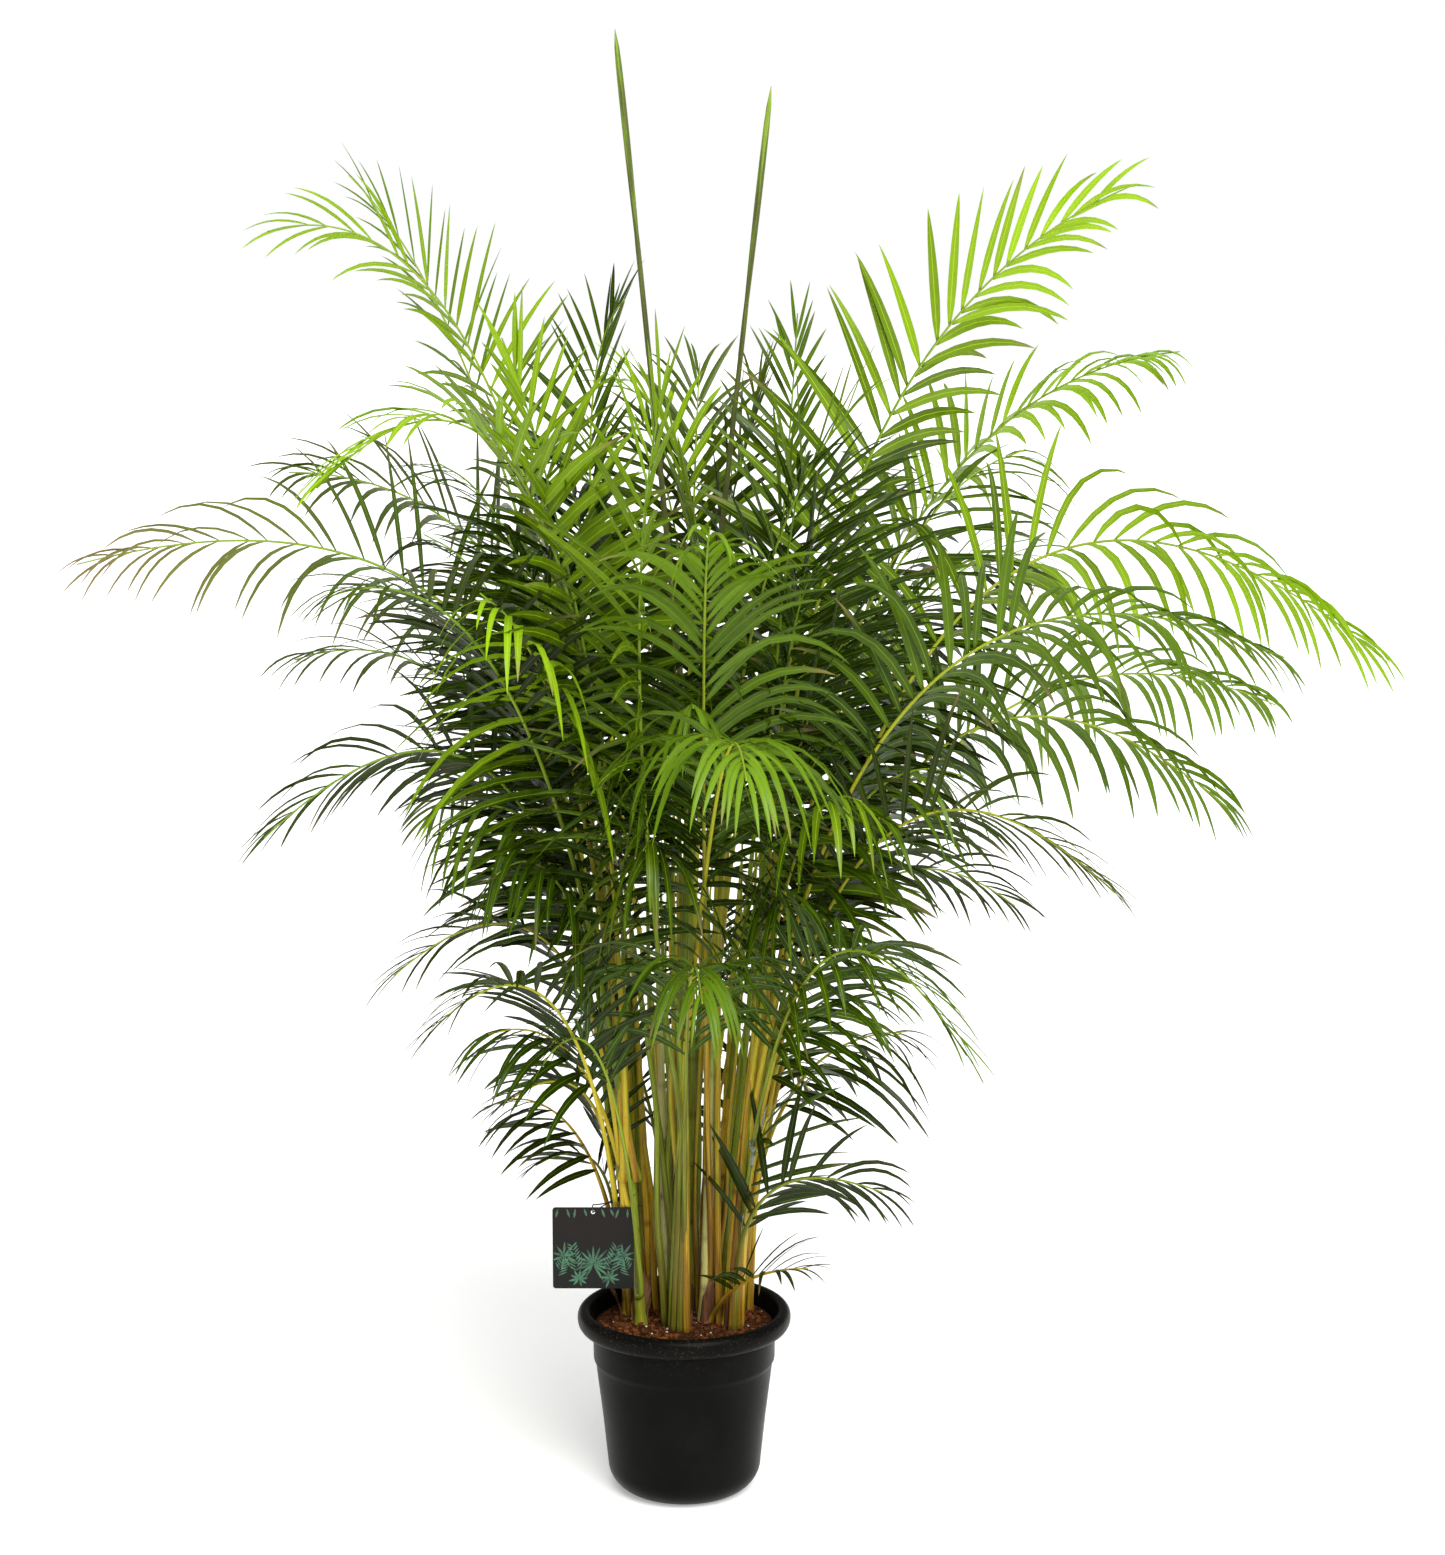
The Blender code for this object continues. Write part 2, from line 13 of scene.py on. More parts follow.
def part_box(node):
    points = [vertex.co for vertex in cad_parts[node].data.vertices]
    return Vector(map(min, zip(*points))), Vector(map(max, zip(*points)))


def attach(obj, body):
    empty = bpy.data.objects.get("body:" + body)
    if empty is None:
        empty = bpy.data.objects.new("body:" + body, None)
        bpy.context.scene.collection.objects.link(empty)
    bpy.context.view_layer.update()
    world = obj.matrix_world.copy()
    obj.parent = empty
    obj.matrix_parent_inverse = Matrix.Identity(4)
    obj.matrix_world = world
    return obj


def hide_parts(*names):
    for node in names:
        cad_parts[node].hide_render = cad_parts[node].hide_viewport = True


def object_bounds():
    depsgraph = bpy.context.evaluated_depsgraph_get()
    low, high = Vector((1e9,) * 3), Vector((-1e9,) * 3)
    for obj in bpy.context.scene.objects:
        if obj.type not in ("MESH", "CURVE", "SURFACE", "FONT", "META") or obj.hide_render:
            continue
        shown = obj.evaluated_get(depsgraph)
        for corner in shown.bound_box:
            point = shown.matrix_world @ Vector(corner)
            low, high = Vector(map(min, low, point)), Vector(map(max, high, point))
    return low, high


bl_info = {
    "name": "Potted Palm",
    "version": (1, 0, 0),
    "blender": (4, 5, 0),
    "location": "3D View > Sidebar > Palm",
    "description": "Grows a feather palm with its nursery pot, soil and hang tag on a fixed frame",
    "category": "Object",
}

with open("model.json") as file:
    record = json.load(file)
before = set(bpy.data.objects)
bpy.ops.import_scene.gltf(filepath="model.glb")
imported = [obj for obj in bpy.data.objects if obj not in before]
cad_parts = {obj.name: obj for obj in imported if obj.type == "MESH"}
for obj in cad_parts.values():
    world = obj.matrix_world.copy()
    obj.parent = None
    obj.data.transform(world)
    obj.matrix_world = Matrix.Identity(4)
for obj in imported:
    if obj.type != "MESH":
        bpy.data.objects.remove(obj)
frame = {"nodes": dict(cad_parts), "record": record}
FRAME_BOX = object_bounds()
UP = Vector((0, 0, 1))
DOWN = Vector((0, 0, -1))
SLOT_OF = {part["node"]: part["material_slot"] for part in frame["record"]["subparts"]}

# Reading the frame's loose triangles: corners closer than MERGE_GAP are one, a corner whose edges are
# all longer than SPIKE_EDGE is a leaflet's tip, and no edge of a ring is longer than its RING_EDGE.
# A centre line gets PLAN_STEPS points between two rings
MERGE_GAP = 0.00002
SPIKE_EDGE = 0.015
FROND_RING_EDGE = 0.0095
ROD_RING_EDGE = 0.0115
PLAN_STEPS = 6

# Leaf colours: how the painted lit side, which the mottling also lightens towards, the painted shaded side,
# which the veins also darken towards, and the midrib differ from the leaf's own colour, the light that comes
# through it and how much does, and the pale fibres of a stalk
PAINTED_LIGHT_SIDE = (2.25, 1.65, 1.9)
PAINTED_SHADE_SIDE = 0.18
PALE_MIDRIB = (2.9, 1.9, 2.2)
YELLOW_LIGHT = (1.0, 1.0, 0.45)
LEAF_GLOW = 0.32
STRAW = (0.56, 0.50, 0.11)

# A leaflet's tone, from deep to light, partly young leaves and partly painted light and shade: lighter high up,
# far out and towards the frond's tip, darker low down near the axis where shade falls
TONE_DROP = 0.90
TONE_UP = 0.88
TONE_OUT = 1.50
TONE_ALONG = 0.12
LEAF_TONE_LIMIT = 0.74

# How broad each kind's leaflets are
LEAF_BREADTH = {"leaf_bright": 1.24, "leaf_green": 0.96, "leaf_dark": 0.84}

# Stalks, thinner by STALK_TAPER at the tip, and their leaflets: LONG_LEAFLET is a full grown one's reach,
# LEAFY_SHARE is how much of the blade carries them, and none grow below BARE_BELOW on a frond that
# rises past LOW_CREST
STALK_SIDES = 7
STALK_RADIUS = 0.0044
STALK_TAPER = 0.0034
STALK_MOTTLING = 0.40
LONG_LEAFLET = 0.22
LEAFY_SHARE = 0.94
BARE_BELOW = 0.56
LOW_CREST = 0.66

# Fronds without a frame node: the turn from one to the next, how much darker the inner ones are painted as
# shade inside the crown, and how much lighter the front ones are painted as light
GOLDEN_TURN = 2.39996
INNER_PAINTED_SHADE = 0.40
FRONT_PAINTED_SHADE = -0.20

# Soil, and how deep stalks and husks stand in it
SOIL_SINK = 0.006
BARK_CHIPS = 70
BARK = (0.085, 0.034, 0.018)
CANE_SINK = 0.02
CANE_STATION = 0.008
RING_DEPTH = 0.0007

# Ink on the card, on a few planes a hair apart so that leaves may cross
INK_THICKNESS = 0.00012
INK_LAYER = 0.000004
INK_LAYERS = 7


def nodes_named(start):
    """The frame nodes whose names start so, in order."""
    return sorted(name for name in frame["nodes"] if name.startswith(start))


# ---------------------------------------------------------------- settings


class PalmLeafSettings(bpy.types.PropertyGroup):
    pitch: bpy.props.FloatProperty(
        name="Leaflet Pitch", description="Distance between leaflets along a full grown midrib",
        default=0.0272, min=0.006, unit="LENGTH")
    width: bpy.props.FloatProperty(
        name="Leaflet Width", description="Width of the widest leaflet",
        default=0.0138, min=0.004, unit="LENGTH")
    thickness: bpy.props.FloatProperty(
        name="Leaflet Thickness", description="Thickness of a leaflet at its midrib",
        default=0.0009, min=0.0002, unit="LENGTH")
    droop: bpy.props.FloatProperty(
        name="Droop", description="How far gravity bends a leaflet",
        default=1.0, min=0.0, max=3.0, subtype="FACTOR")
    rise: bpy.props.FloatProperty(
        name="Rise", description="Angle at which leaflets leave the midrib, above the blade",
        default=math.radians(34), subtype="ANGLE")
    inner: bpy.props.IntProperty(
        name="Inner Fronds", description="Fronds that fill the inside of the crown", default=30, min=0)
    bright: bpy.props.FloatVectorProperty(
        name="Bright Leaf", description="Colour of young leaves in full light",
        default=(0.250, 0.535, 0.012), size=3, min=0, max=1, subtype="COLOR")
    green: bpy.props.FloatVectorProperty(
        name="Green Leaf", description="Colour of grown leaves",
        default=(0.118, 0.282, 0.008), size=3, min=0, max=1, subtype="COLOR")
    dark: bpy.props.FloatVectorProperty(
        name="Dark Leaf", description="Colour of old leaves low on the plant",
        default=(0.056, 0.120, 0.003), size=3, min=0, max=1, subtype="COLOR")
    dry: bpy.props.FloatVectorProperty(
        name="Dry Leaf", description="Colour of a dried leaf tip",
        default=(0.36, 0.24, 0.11), size=3, min=0, max=1, subtype="COLOR")


class PalmStemSettings(bpy.types.PropertyGroup):
    ring_pitch: bpy.props.FloatProperty(
        name="Ring Pitch", description="Distance between the leaf scars on a cane",
        default=0.078, min=0.02, unit="LENGTH")
    shoots: bpy.props.IntProperty(
        name="Young Shoots", description="Thin shoots that stand between the canes", default=42, min=0)
    golden: bpy.props.FloatVectorProperty(
        name="Golden Sheath", description="Colour of sheaths near the soil",
        default=(0.66, 0.420, 0.018), size=3, min=0, max=1, subtype="COLOR")
    fresh: bpy.props.FloatVectorProperty(
        name="Fresh Stalk", description="Colour of young stalks",
        default=(0.38, 0.49, 0.028), size=3, min=0, max=1, subtype="COLOR")
    husk: bpy.props.FloatVectorProperty(
        name="Husk", description="Colour of dry sheaths at the foot",
        default=(0.120, 0.046, 0.014), size=3, min=0, max=1, subtype="COLOR")


class PalmPotSettings(bpy.types.PropertyGroup):
    steps: bpy.props.IntProperty(
        name="Turn Steps", description="Faces round the pot", default=112, min=24)
    plastic: bpy.props.FloatVectorProperty(
        name="Plastic", description="Colour of the moulded pot",
        default=(0.0022, 0.0022, 0.0020), size=3, min=0, max=1, subtype="COLOR")
    soil: bpy.props.FloatVectorProperty(
        name="Soil", description="Colour of moist potting mix",
        default=(0.050, 0.0170, 0.0050), size=3, min=0, max=1, subtype="COLOR")
    crumbs: bpy.props.IntProperty(
        name="Crumbs", description="Loose crumbs and bark chips on the soil", default=1100, min=0)
    grains: bpy.props.IntProperty(
        name="White Grains", description="Perlite grains on the soil", default=150, min=0)


class PalmStageSettings(bpy.types.PropertyGroup):
    lens: bpy.props.FloatProperty(
        name="Lens", description="Focal length in millimetres on a 36 mm sensor", default=66.7, min=10)
    camera_height: bpy.props.FloatProperty(
        name="Camera Height", description="Height of the camera", default=1.60, unit="LENGTH")
    camera_distance: bpy.props.FloatProperty(
        name="Camera Distance", description="Distance from the pot's axis", default=3.90, unit="LENGTH")
    camera_side: bpy.props.FloatProperty(
        name="Camera Side", description="Distance of the camera to the right of the pot's axis",
        default=0.054, unit="LENGTH")
    camera_pitch: bpy.props.FloatProperty(
        name="Camera Pitch", description="Angle that the camera looks down",
        default=math.radians(8.54), subtype="ANGLE")
    floor: bpy.props.FloatVectorProperty(
        name="Floor", description="Colour of the floor",
        default=(0.90, 0.90, 0.90), size=3, min=0, max=1, subtype="COLOR")


# ---------------------------------------------------------------- materials


def new_group(name, inputs, outputs):
    group = bpy.data.node_groups.new(name, "ShaderNodeTree")
    for socket, kind, value in inputs:
        item = group.interface.new_socket(name=socket, in_out="INPUT", socket_type=kind)
        if value is not None:
            item.default_value = value
    for socket, kind in outputs:
        group.interface.new_socket(name=socket, in_out="OUTPUT", socket_type=kind)
    return group, group.nodes.new("NodeGroupInput"), group.nodes.new("NodeGroupOutput")


def math_node(tree, operation, first, second=None, third=None):
    node = tree.nodes.new("ShaderNodeMath")
    node.operation = operation
    for socket, value in zip(node.inputs, (first, second, third)):
        if value is None:
            continue
        if isinstance(value, (int, float)):
            socket.default_value = value
        else:
            tree.links.new(value, socket)
    return node.outputs[0]


def map_range(tree, value, low, high, to_low=0.0, to_high=1.0):
    node = tree.nodes.new("ShaderNodeMapRange")
    tree.links.new(value, node.inputs["Value"])
    node.inputs["From Min"].default_value = low
    node.inputs["From Max"].default_value = high
    node.inputs["To Min"].default_value = to_low
    node.inputs["To Max"].default_value = to_high
    return node.outputs["Result"]


def mix_colour(tree, factor, first, second, blend="MIX"):
    node = tree.nodes.new("ShaderNodeMix")
    node.data_type = "RGBA"
    node.blend_type = blend
    for socket, value in ((node.inputs[0], factor), (node.inputs[6], first), (node.inputs[7], second)):
        if isinstance(value, (int, float)):
            socket.default_value = value
        elif isinstance(value, (tuple, list)):
            socket.default_value = (*value, 1)
        else:
            tree.links.new(value, socket)
    return node.outputs[2]


def noise_node(tree, vector, scale, detail=3.0, roughness=0.5):
    node = tree.nodes.new("ShaderNodeTexNoise")
    node.inputs["Scale"].default_value = scale
    node.inputs["Detail"].default_value = detail
    node.inputs["Roughness"].default_value = roughness
    tree.links.new(vector, node.inputs["Vector"])
    return node.outputs["Fac"]


def stretch(tree, vector, scale):
    """A pattern's place, scaled apart in each direction."""
    node = tree.nodes.new("ShaderNodeMapping")
    node.inputs["Scale"].default_value = scale
    tree.links.new(vector, node.inputs["Vector"])
    return node.outputs["Vector"]


def attribute(tree, name):
    node = tree.nodes.new("ShaderNodeAttribute")
    node.attribute_name = name
    return node.outputs["Fac"]


def surface_map(tree):
    node = tree.nodes.new("ShaderNodeUVMap")
    node.uv_map = "surface"
    return node.outputs["UV"]


def object_place(tree):
    return tree.nodes.new("ShaderNodeTexCoord").outputs["Object"]


def blade_vein_group():
    """Midrib, side veins and mottling of a leaflet, from a map with u across it and v along it."""
    group, enter, leave = new_group(
        "Blade Veins",
        [("Surface", "NodeSocketVector", None), ("Place", "NodeSocketVector", None)],
        [("Midrib", "NodeSocketFloat"), ("Veins", "NodeSocketFloat"), ("Mottle", "NodeSocketFloat"),
         ("Height", "NodeSocketFloat")])
    split = group.nodes.new("ShaderNodeSeparateXYZ")
    group.links.new(enter.outputs["Surface"], split.inputs[0])
    across = math_node(group, "ABSOLUTE", math_node(group, "SUBTRACT", split.outputs[0], 0.5))
    midrib = map_range(group, across, 0.012, 0.055, 1.0, 0.0)
    wave = math_node(group, "SINE", math_node(group, "MULTIPLY", split.outputs[0], 75.0))
    fibres = noise_node(group, stretch(group, enter.outputs["Surface"], (42.0, 1.6, 1.0)), 1.0, 2.0)
    veins = math_node(group, "MULTIPLY", math_node(group, "MULTIPLY_ADD", wave, 0.5, 0.5), fibres)
    mottle = noise_node(group, enter.outputs["Place"], 26.0, 4.0, 0.6)
    rib = math_node(group, "MULTIPLY", midrib, 0.9)
    height = math_node(group, "MULTIPLY_ADD", veins, 0.35, rib)
    group.links.new(midrib, leave.inputs["Midrib"])
    group.links.new(veins, leave.inputs["Veins"])
    group.links.new(mottle, leave.inputs["Mottle"])
    group.links.new(height, leave.inputs["Height"])
    return group


def fibre_group():
    """Long fibres and blotches that run along a stalk, from a map with v in metres along it."""
    group, enter, leave = new_group(
        "Stalk Fibres",
        [("Surface", "NodeSocketVector", None), ("Place", "NodeSocketVector", None)],
        [("Fibre", "NodeSocketFloat"), ("Blotch", "NodeSocketFloat"), ("Fleck", "NodeSocketFloat")])
    fine = noise_node(group, stretch(group, enter.outputs["Surface"], (34.0, 9.0, 1.0)), 1.0, 4.0, 0.65)
    broad = noise_node(group, stretch(group, enter.outputs["Surface"], (5.0, 7.0, 1.0)), 1.0, 3.0, 0.55)
    dots = noise_node(group, stretch(group, enter.outputs["Place"], (1.0, 1.0, 0.35)), 900.0, 2.0)
    group.links.new(fine, leave.inputs["Fibre"])
    group.links.new(map_range(group, broad, 0.36, 0.64), leave.inputs["Blotch"])
    group.links.new(map_range(group, dots, 0.62, 0.70), leave.inputs["Fleck"])
    return group


def dust_group():
    """Fine moulded grain with dust and splashes that lie on it, thicker near a height."""
    group, enter, leave = new_group(
        "Grain and Dust",
        [("Place", "NodeSocketVector", None), ("Dust Height", "NodeSocketFloat", 0.25),
         ("Dust Depth", "NodeSocketFloat", 0.05)],
        [("Grain", "NodeSocketFloat"), ("Dust", "NodeSocketFloat"), ("Cloud", "NodeSocketFloat")])
    split = group.nodes.new("ShaderNodeSeparateXYZ")
    group.links.new(enter.outputs["Place"], split.inputs[0])
    grain = noise_node(group, enter.outputs["Place"], 1400.0, 2.0, 0.6)
    cloud = noise_node(group, enter.outputs["Place"], 14.0, 4.0, 0.6)
    specks = map_range(group, noise_node(group, enter.outputs["Place"], 330.0, 3.0, 0.7), 0.58, 0.74)
    below = math_node(group, "SUBTRACT", enter.outputs["Dust Height"], split.outputs[2])
    near = math_node(group, "DIVIDE", math_node(group, "ABSOLUTE", below), enter.outputs["Dust Depth"])
    near = map_range(group, near, 0.0, 1.0, 1.0, 0.0)
    dust = math_node(group, "MULTIPLY", specks, math_node(group, "MULTIPLY", near, cloud))
    group.links.new(grain, leave.inputs["Grain"])
    group.links.new(dust, leave.inputs["Dust"])
    group.links.new(cloud, leave.inputs["Cloud"])
    return group


def shared_group(name, maker):
    """A node group that is built the first time it is asked for."""
    return bpy.data.node_groups.get(name) or maker()


def new_material(name):
    material = bpy.data.materials.new(name)
    material.use_nodes = True
    shader = material.node_tree.nodes["Principled BSDF"]
    return material, material.node_tree, shader


def place_group(tree, group, links):
    node = tree.nodes.new("ShaderNodeGroup")
    node.node_tree = group
    for name, value in links.items():
        if isinstance(value, (int, float)):
            node.inputs[name].default_value = value
        else:
            tree.links.new(value, node.inputs[name])
    return node.outputs


def add_bump(tree, shader, height, strength, distance):
    bump = tree.nodes.new("ShaderNodeBump")
    bump.inputs["Strength"].default_value = strength
    bump.inputs["Distance"].default_value = distance
    tree.links.new(height, bump.inputs["Height"])
    tree.links.new(bump.outputs["Normal"], shader.inputs["Normal"])


def dress(tree, shader, colour, roughness, specular=None, bump=None):
    """Give the shader its colour, its roughness, and where they are set its specular level and bump."""
    tree.links.new(colour, shader.inputs["Base Color"])
    if isinstance(roughness, float):
        shader.inputs["Roughness"].default_value = roughness
    else:
        tree.links.new(roughness, shader.inputs["Roughness"])
    if specular is not None:
        shader.inputs["Specular IOR Level"].default_value = specular
    if bump:
        add_bump(tree, shader, *bump)


def tinted(colour, factors):
    """A colour with each channel scaled."""
    return tuple(min(1.0, c * k) for c, k in zip(colour, factors))


def leaf_material(name, colour, dry):
    """Waxy leaf: veins, mottling, a paler midrib, painted light and shade along each leaflet's tone, which also
    makes young leaflets lighter, and dried tips.
    """
    made = bpy.data.materials.get(name)
    if made:
        return made
    material, tree, shader = new_material(name)
    surface = surface_map(tree)
    veins = place_group(tree, shared_group("Blade Veins", blade_vein_group),
                        {"Surface": surface, "Place": object_place(tree)})
    light = tinted(colour, PAINTED_LIGHT_SIDE)
    deep = tuple(c * PAINTED_SHADE_SIDE for c in colour)
    # Painted light and shade: the tone attribute mixes each leaflet from the painted shaded side to the painted
    # lit side.
    base = mix_colour(tree, attribute(tree, "tone"), deep, light)
    mottled = mix_colour(tree, map_range(tree, veins["Mottle"], 0.3, 0.7, 0.0, 0.14), base, light)
    veined = mix_colour(tree, math_node(tree, "MULTIPLY", veins["Veins"], 0.35), mottled, deep)
    ribbed = mix_colour(tree, math_node(tree, "MULTIPLY", veins["Midrib"], 0.55), veined,
                        tinted(colour, PALE_MIDRIB))
    dryness = attribute(tree, "dryness")
    final = mix_colour(tree, dryness, ribbed, dry)
    rough = map_range(tree, veins["Mottle"], 0.3, 0.7, 0.20, 0.34)
    dress(tree, shader, final, math_node(tree, "MULTIPLY_ADD", dryness, 0.35, rough), 0.22,
          (veins["Height"], 0.16, 0.0005))
    through = tree.nodes.new("ShaderNodeBsdfTranslucent")
    tree.links.new(mix_colour(tree, 1.0, final, YELLOW_LIGHT, "MULTIPLY"), through.inputs["Color"])
    mix = tree.nodes.new("ShaderNodeMixShader")
    mix.inputs[0].default_value = LEAF_GLOW
    tree.links.new(shader.outputs[0], mix.inputs[1])
    tree.links.new(through.outputs[0], mix.inputs[2])
    tree.links.new(mix.outputs[0], tree.nodes["Material Output"].inputs["Surface"])
    return material


STALK_STOPS = {
    "Golden Stalk": ((0.0, (0.26, 0.120, 0.008)), (0.14, (0.56, 0.370, 0.016)), (0.45, (0.60, 0.520, 0.024)),
                     (0.80, (0.36, 0.450, 0.024)), (1.0, (0.22, 0.400, 0.020))),
    "Green Stalk": ((0.0, (0.120, 0.100, 0.008)), (0.14, (0.150, 0.180, 0.010)), (0.45, (0.230, 0.330, 0.014)),
                    (0.80, (0.250, 0.400, 0.020)), (1.0, (0.18, 0.370, 0.018))),
    "Amber Stalk": ((0.0, (0.18, 0.080, 0.008)), (0.14, (0.38, 0.210, 0.011)), (0.45, (0.42, 0.390, 0.018)),
                    (0.80, (0.310, 0.420, 0.022)), (1.0, (0.21, 0.380, 0.020))),
}


def stalk_material(name, stops, mottled):
    """Smooth sheath that turns through its colours along the run attribute, with fibres and flecks."""
    made = bpy.data.materials.get(name)
    if made:
        return made
    material, tree, shader = new_material(name)
    fibres = place_group(tree, shared_group("Stalk Fibres", fibre_group),
                         {"Surface": surface_map(tree), "Place": object_place(tree)})
    run = attribute(tree, "run")
    shifted = math_node(tree, "MULTIPLY_ADD", fibres["Blotch"], 0.34, math_node(tree, "SUBTRACT", run, 0.17))
    ramp = tree.nodes.new("ShaderNodeValToRGB")
    tree.links.new(shifted, ramp.inputs[0])
    band = ramp.color_ramp
    while len(band.elements) < len(stops):
        band.elements.new(0.5)
    for element, (place, colour) in zip(band.elements, stops):
        element.position = place
        element.color = (*colour, 1)
    colour = ramp.outputs["Color"]
    dark = tinted(stops[0][1], (0.35, 0.35, 0.6))
    streaked = mix_colour(tree, map_range(tree, fibres["Fibre"], 0.42, 0.66, 0.0, mottled), colour, dark)
    lit = mix_colour(tree, map_range(tree, fibres["Fibre"], 0.50, 0.34, 0.0, 0.25), streaked, STRAW)
    scars = attribute(tree, "scar")
    ringed = mix_colour(tree, math_node(tree, "MULTIPLY", scars, 0.8), lit, (0.060, 0.028, 0.010))
    flecked = mix_colour(tree, math_node(tree, "MULTIPLY", fibres["Fleck"], 0.45), ringed, dark)
    dress(tree, shader, flecked, map_range(tree, fibres["Fibre"], 0.3, 0.7, 0.32, 0.52), 0.22,
          (fibres["Fibre"], 0.35, 0.0008))
    return material


def husk_material(colour):
    """Dry, fibrous sheath, pale in blotches and dark between its fibres."""
    material, tree, shader = new_material("Dry Husk")
    fibres = place_group(tree, shared_group("Stalk Fibres", fibre_group),
                         {"Surface": surface_map(tree), "Place": object_place(tree)})
    pale = tuple(min(1.0, c * 2.3) for c in colour)
    dark = tuple(c * 0.35 for c in colour)
    base = mix_colour(tree, fibres["Blotch"], colour, pale)
    fibrous = mix_colour(tree, map_range(tree, fibres["Fibre"], 0.38, 0.62), dark, base)
    dress(tree, shader, fibrous, 0.75, bump=(fibres["Fibre"], 0.8, 0.0012))
    return material


def pot_material(colour, rim_height):
    """Dark moulded plastic with a fine grain, and soil dust near its rim."""
    material, tree, shader = new_material("Moulded Pot")
    grain = place_group(tree, shared_group("Grain and Dust", dust_group),
                        {"Place": object_place(tree), "Dust Height": rim_height, "Dust Depth": 0.07})
    worn = tuple(min(1.0, c * 1.6 + 0.001) for c in colour)
    cloudy = mix_colour(tree, map_range(tree, grain["Cloud"], 0.35, 0.7), colour, worn)
    dusty = mix_colour(tree, map_range(tree, grain["Dust"], 0.0, 1.0, 0.0, 0.75), cloudy, (0.17, 0.11, 0.07))
    rough = map_range(tree, grain["Cloud"], 0.3, 0.7, 0.30, 0.42)
    dress(tree, shader, dusty, math_node(tree, "MULTIPLY_ADD", grain["Dust"], 0.4, rough), 0.05,
          (grain["Grain"], 0.18, 0.0004))
    return material


def soil_material(name, colour, contrast):
    """Damp crumbs with lighter specks, and each loose bit a little lighter or darker by its tone."""
    material, tree, shader = new_material(name)
    place = object_place(tree)
    coarse = noise_node(tree, place, 90.0, 6.0, 0.65)
    fine = noise_node(tree, place, 620.0, 4.0, 0.7)
    damp = tuple(c * 0.30 for c in colour)
    warm = tinted(colour, (3.2, 2.9, 2.6))
    base = mix_colour(tree, map_range(tree, coarse, 0.36, 0.64), damp, colour)
    speckled = mix_colour(tree, map_range(tree, fine, 0.50, 0.70, 0.0, contrast), base, warm)
    shade = math_node(tree, "MULTIPLY", attribute(tree, "tone"), contrast)
    dress(tree, shader, mix_colour(tree, shade, speckled, warm),
          map_range(tree, coarse, 0.35, 0.65, 0.62, 0.95), 0.12, (fine, 0.9, 0.0015))
    return material


def grain_material():
    """White, porous volcanic grains."""
    material, tree, shader = new_material("Perlite")
    pores = noise_node(tree, object_place(tree), 900.0, 4.0, 0.7)
    colour = mix_colour(tree, map_range(tree, pores, 0.3, 0.6), (0.34, 0.28, 0.22), (0.80, 0.77, 0.71))
    dress(tree, shader, colour, 0.9, bump=(pores, 0.8, 0.0006))
    return material


def card_material():
    """Dark card that fades a little from its foot to its top."""
    material, tree, shader = new_material("Dark Card")
    place = object_place(tree)
    fibre = noise_node(tree, place, 700.0, 3.0, 0.6)
    cloud = noise_node(tree, place, 22.0, 2.0)
    split = tree.nodes.new("ShaderNodeSeparateXYZ")
    tree.links.new(place, split.inputs[0])
    low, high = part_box("hang_tag")
    fade = map_range(tree, split.outputs[2], low.z, high.z, 0.0, 1.0)
    ink = mix_colour(tree, fade, (0.0030, 0.0050, 0.0045), (0.0090, 0.0050, 0.0042))
    cloudy = mix_colour(tree, map_range(tree, cloud, 0.3, 0.7, 0.0, 0.25), ink, (0.014, 0.009, 0.008))
    dress(tree, shader, cloudy, map_range(tree, fibre, 0.3, 0.7, 0.34, 0.46), 0.2, (fibre, 0.12, 0.0003))
    return material


def ink_material():
    """Green ink, each leaf in its own tone and slightly blotted."""
    material, tree, shader = new_material("Printed Leaves")
    blot = noise_node(tree, object_place(tree), 160.0, 3.0, 0.6)
    green = mix_colour(tree, attribute(tree, "tone"), (0.004, 0.026, 0.014), (0.030, 0.135, 0.062))
    blotted = mix_colour(tree, map_range(tree, blot, 0.40, 0.66, 0.0, 0.45), green, (0.090, 0.260, 0.140))
    dress(tree, shader, blotted, 0.38)
    return material


def cord_material():
    """Black cord with a fine twist."""
    material, tree, shader = new_material("Tie Cord")
    twist = tree.nodes.new("ShaderNodeTexWave")
    twist.wave_type = "BANDS"
    twist.bands_direction = "DIAGONAL"
    twist.inputs["Scale"].default_value = 260.0
    tree.links.new(object_place(tree), twist.inputs["Vector"])
    fibre = twist.outputs["Fac"]
    colour = mix_colour(tree, fibre, (0.012, 0.012, 0.012), (0.05, 0.048, 0.045))
    dress(tree, shader, colour, 0.55, bump=(fibre, 0.5, 0.0004))
    return material


# ---------------------------------------------------------------- shared mesh work


def mesh_from(name, bm):
    mesh = bpy.data.meshes.new(name)
    bm.to_mesh(mesh)
    bm.free()
    return mesh


def add_object(name, data):
    made = bpy.data.objects.new(name, data)
    bpy.context.scene.collection.objects.link(made)
    return made


def add_piece(name, bm, materials, smooth=True):
    """Turn the bmesh into a piece at the origin that rides on the palm."""
    if smooth:
        for face in bm.faces:
            face.smooth = True
    mesh = mesh_from(name, bm)
    for material in materials:
        mesh.materials.append(material)
    piece = add_object(name, mesh)
    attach(piece, "root")
    return piece


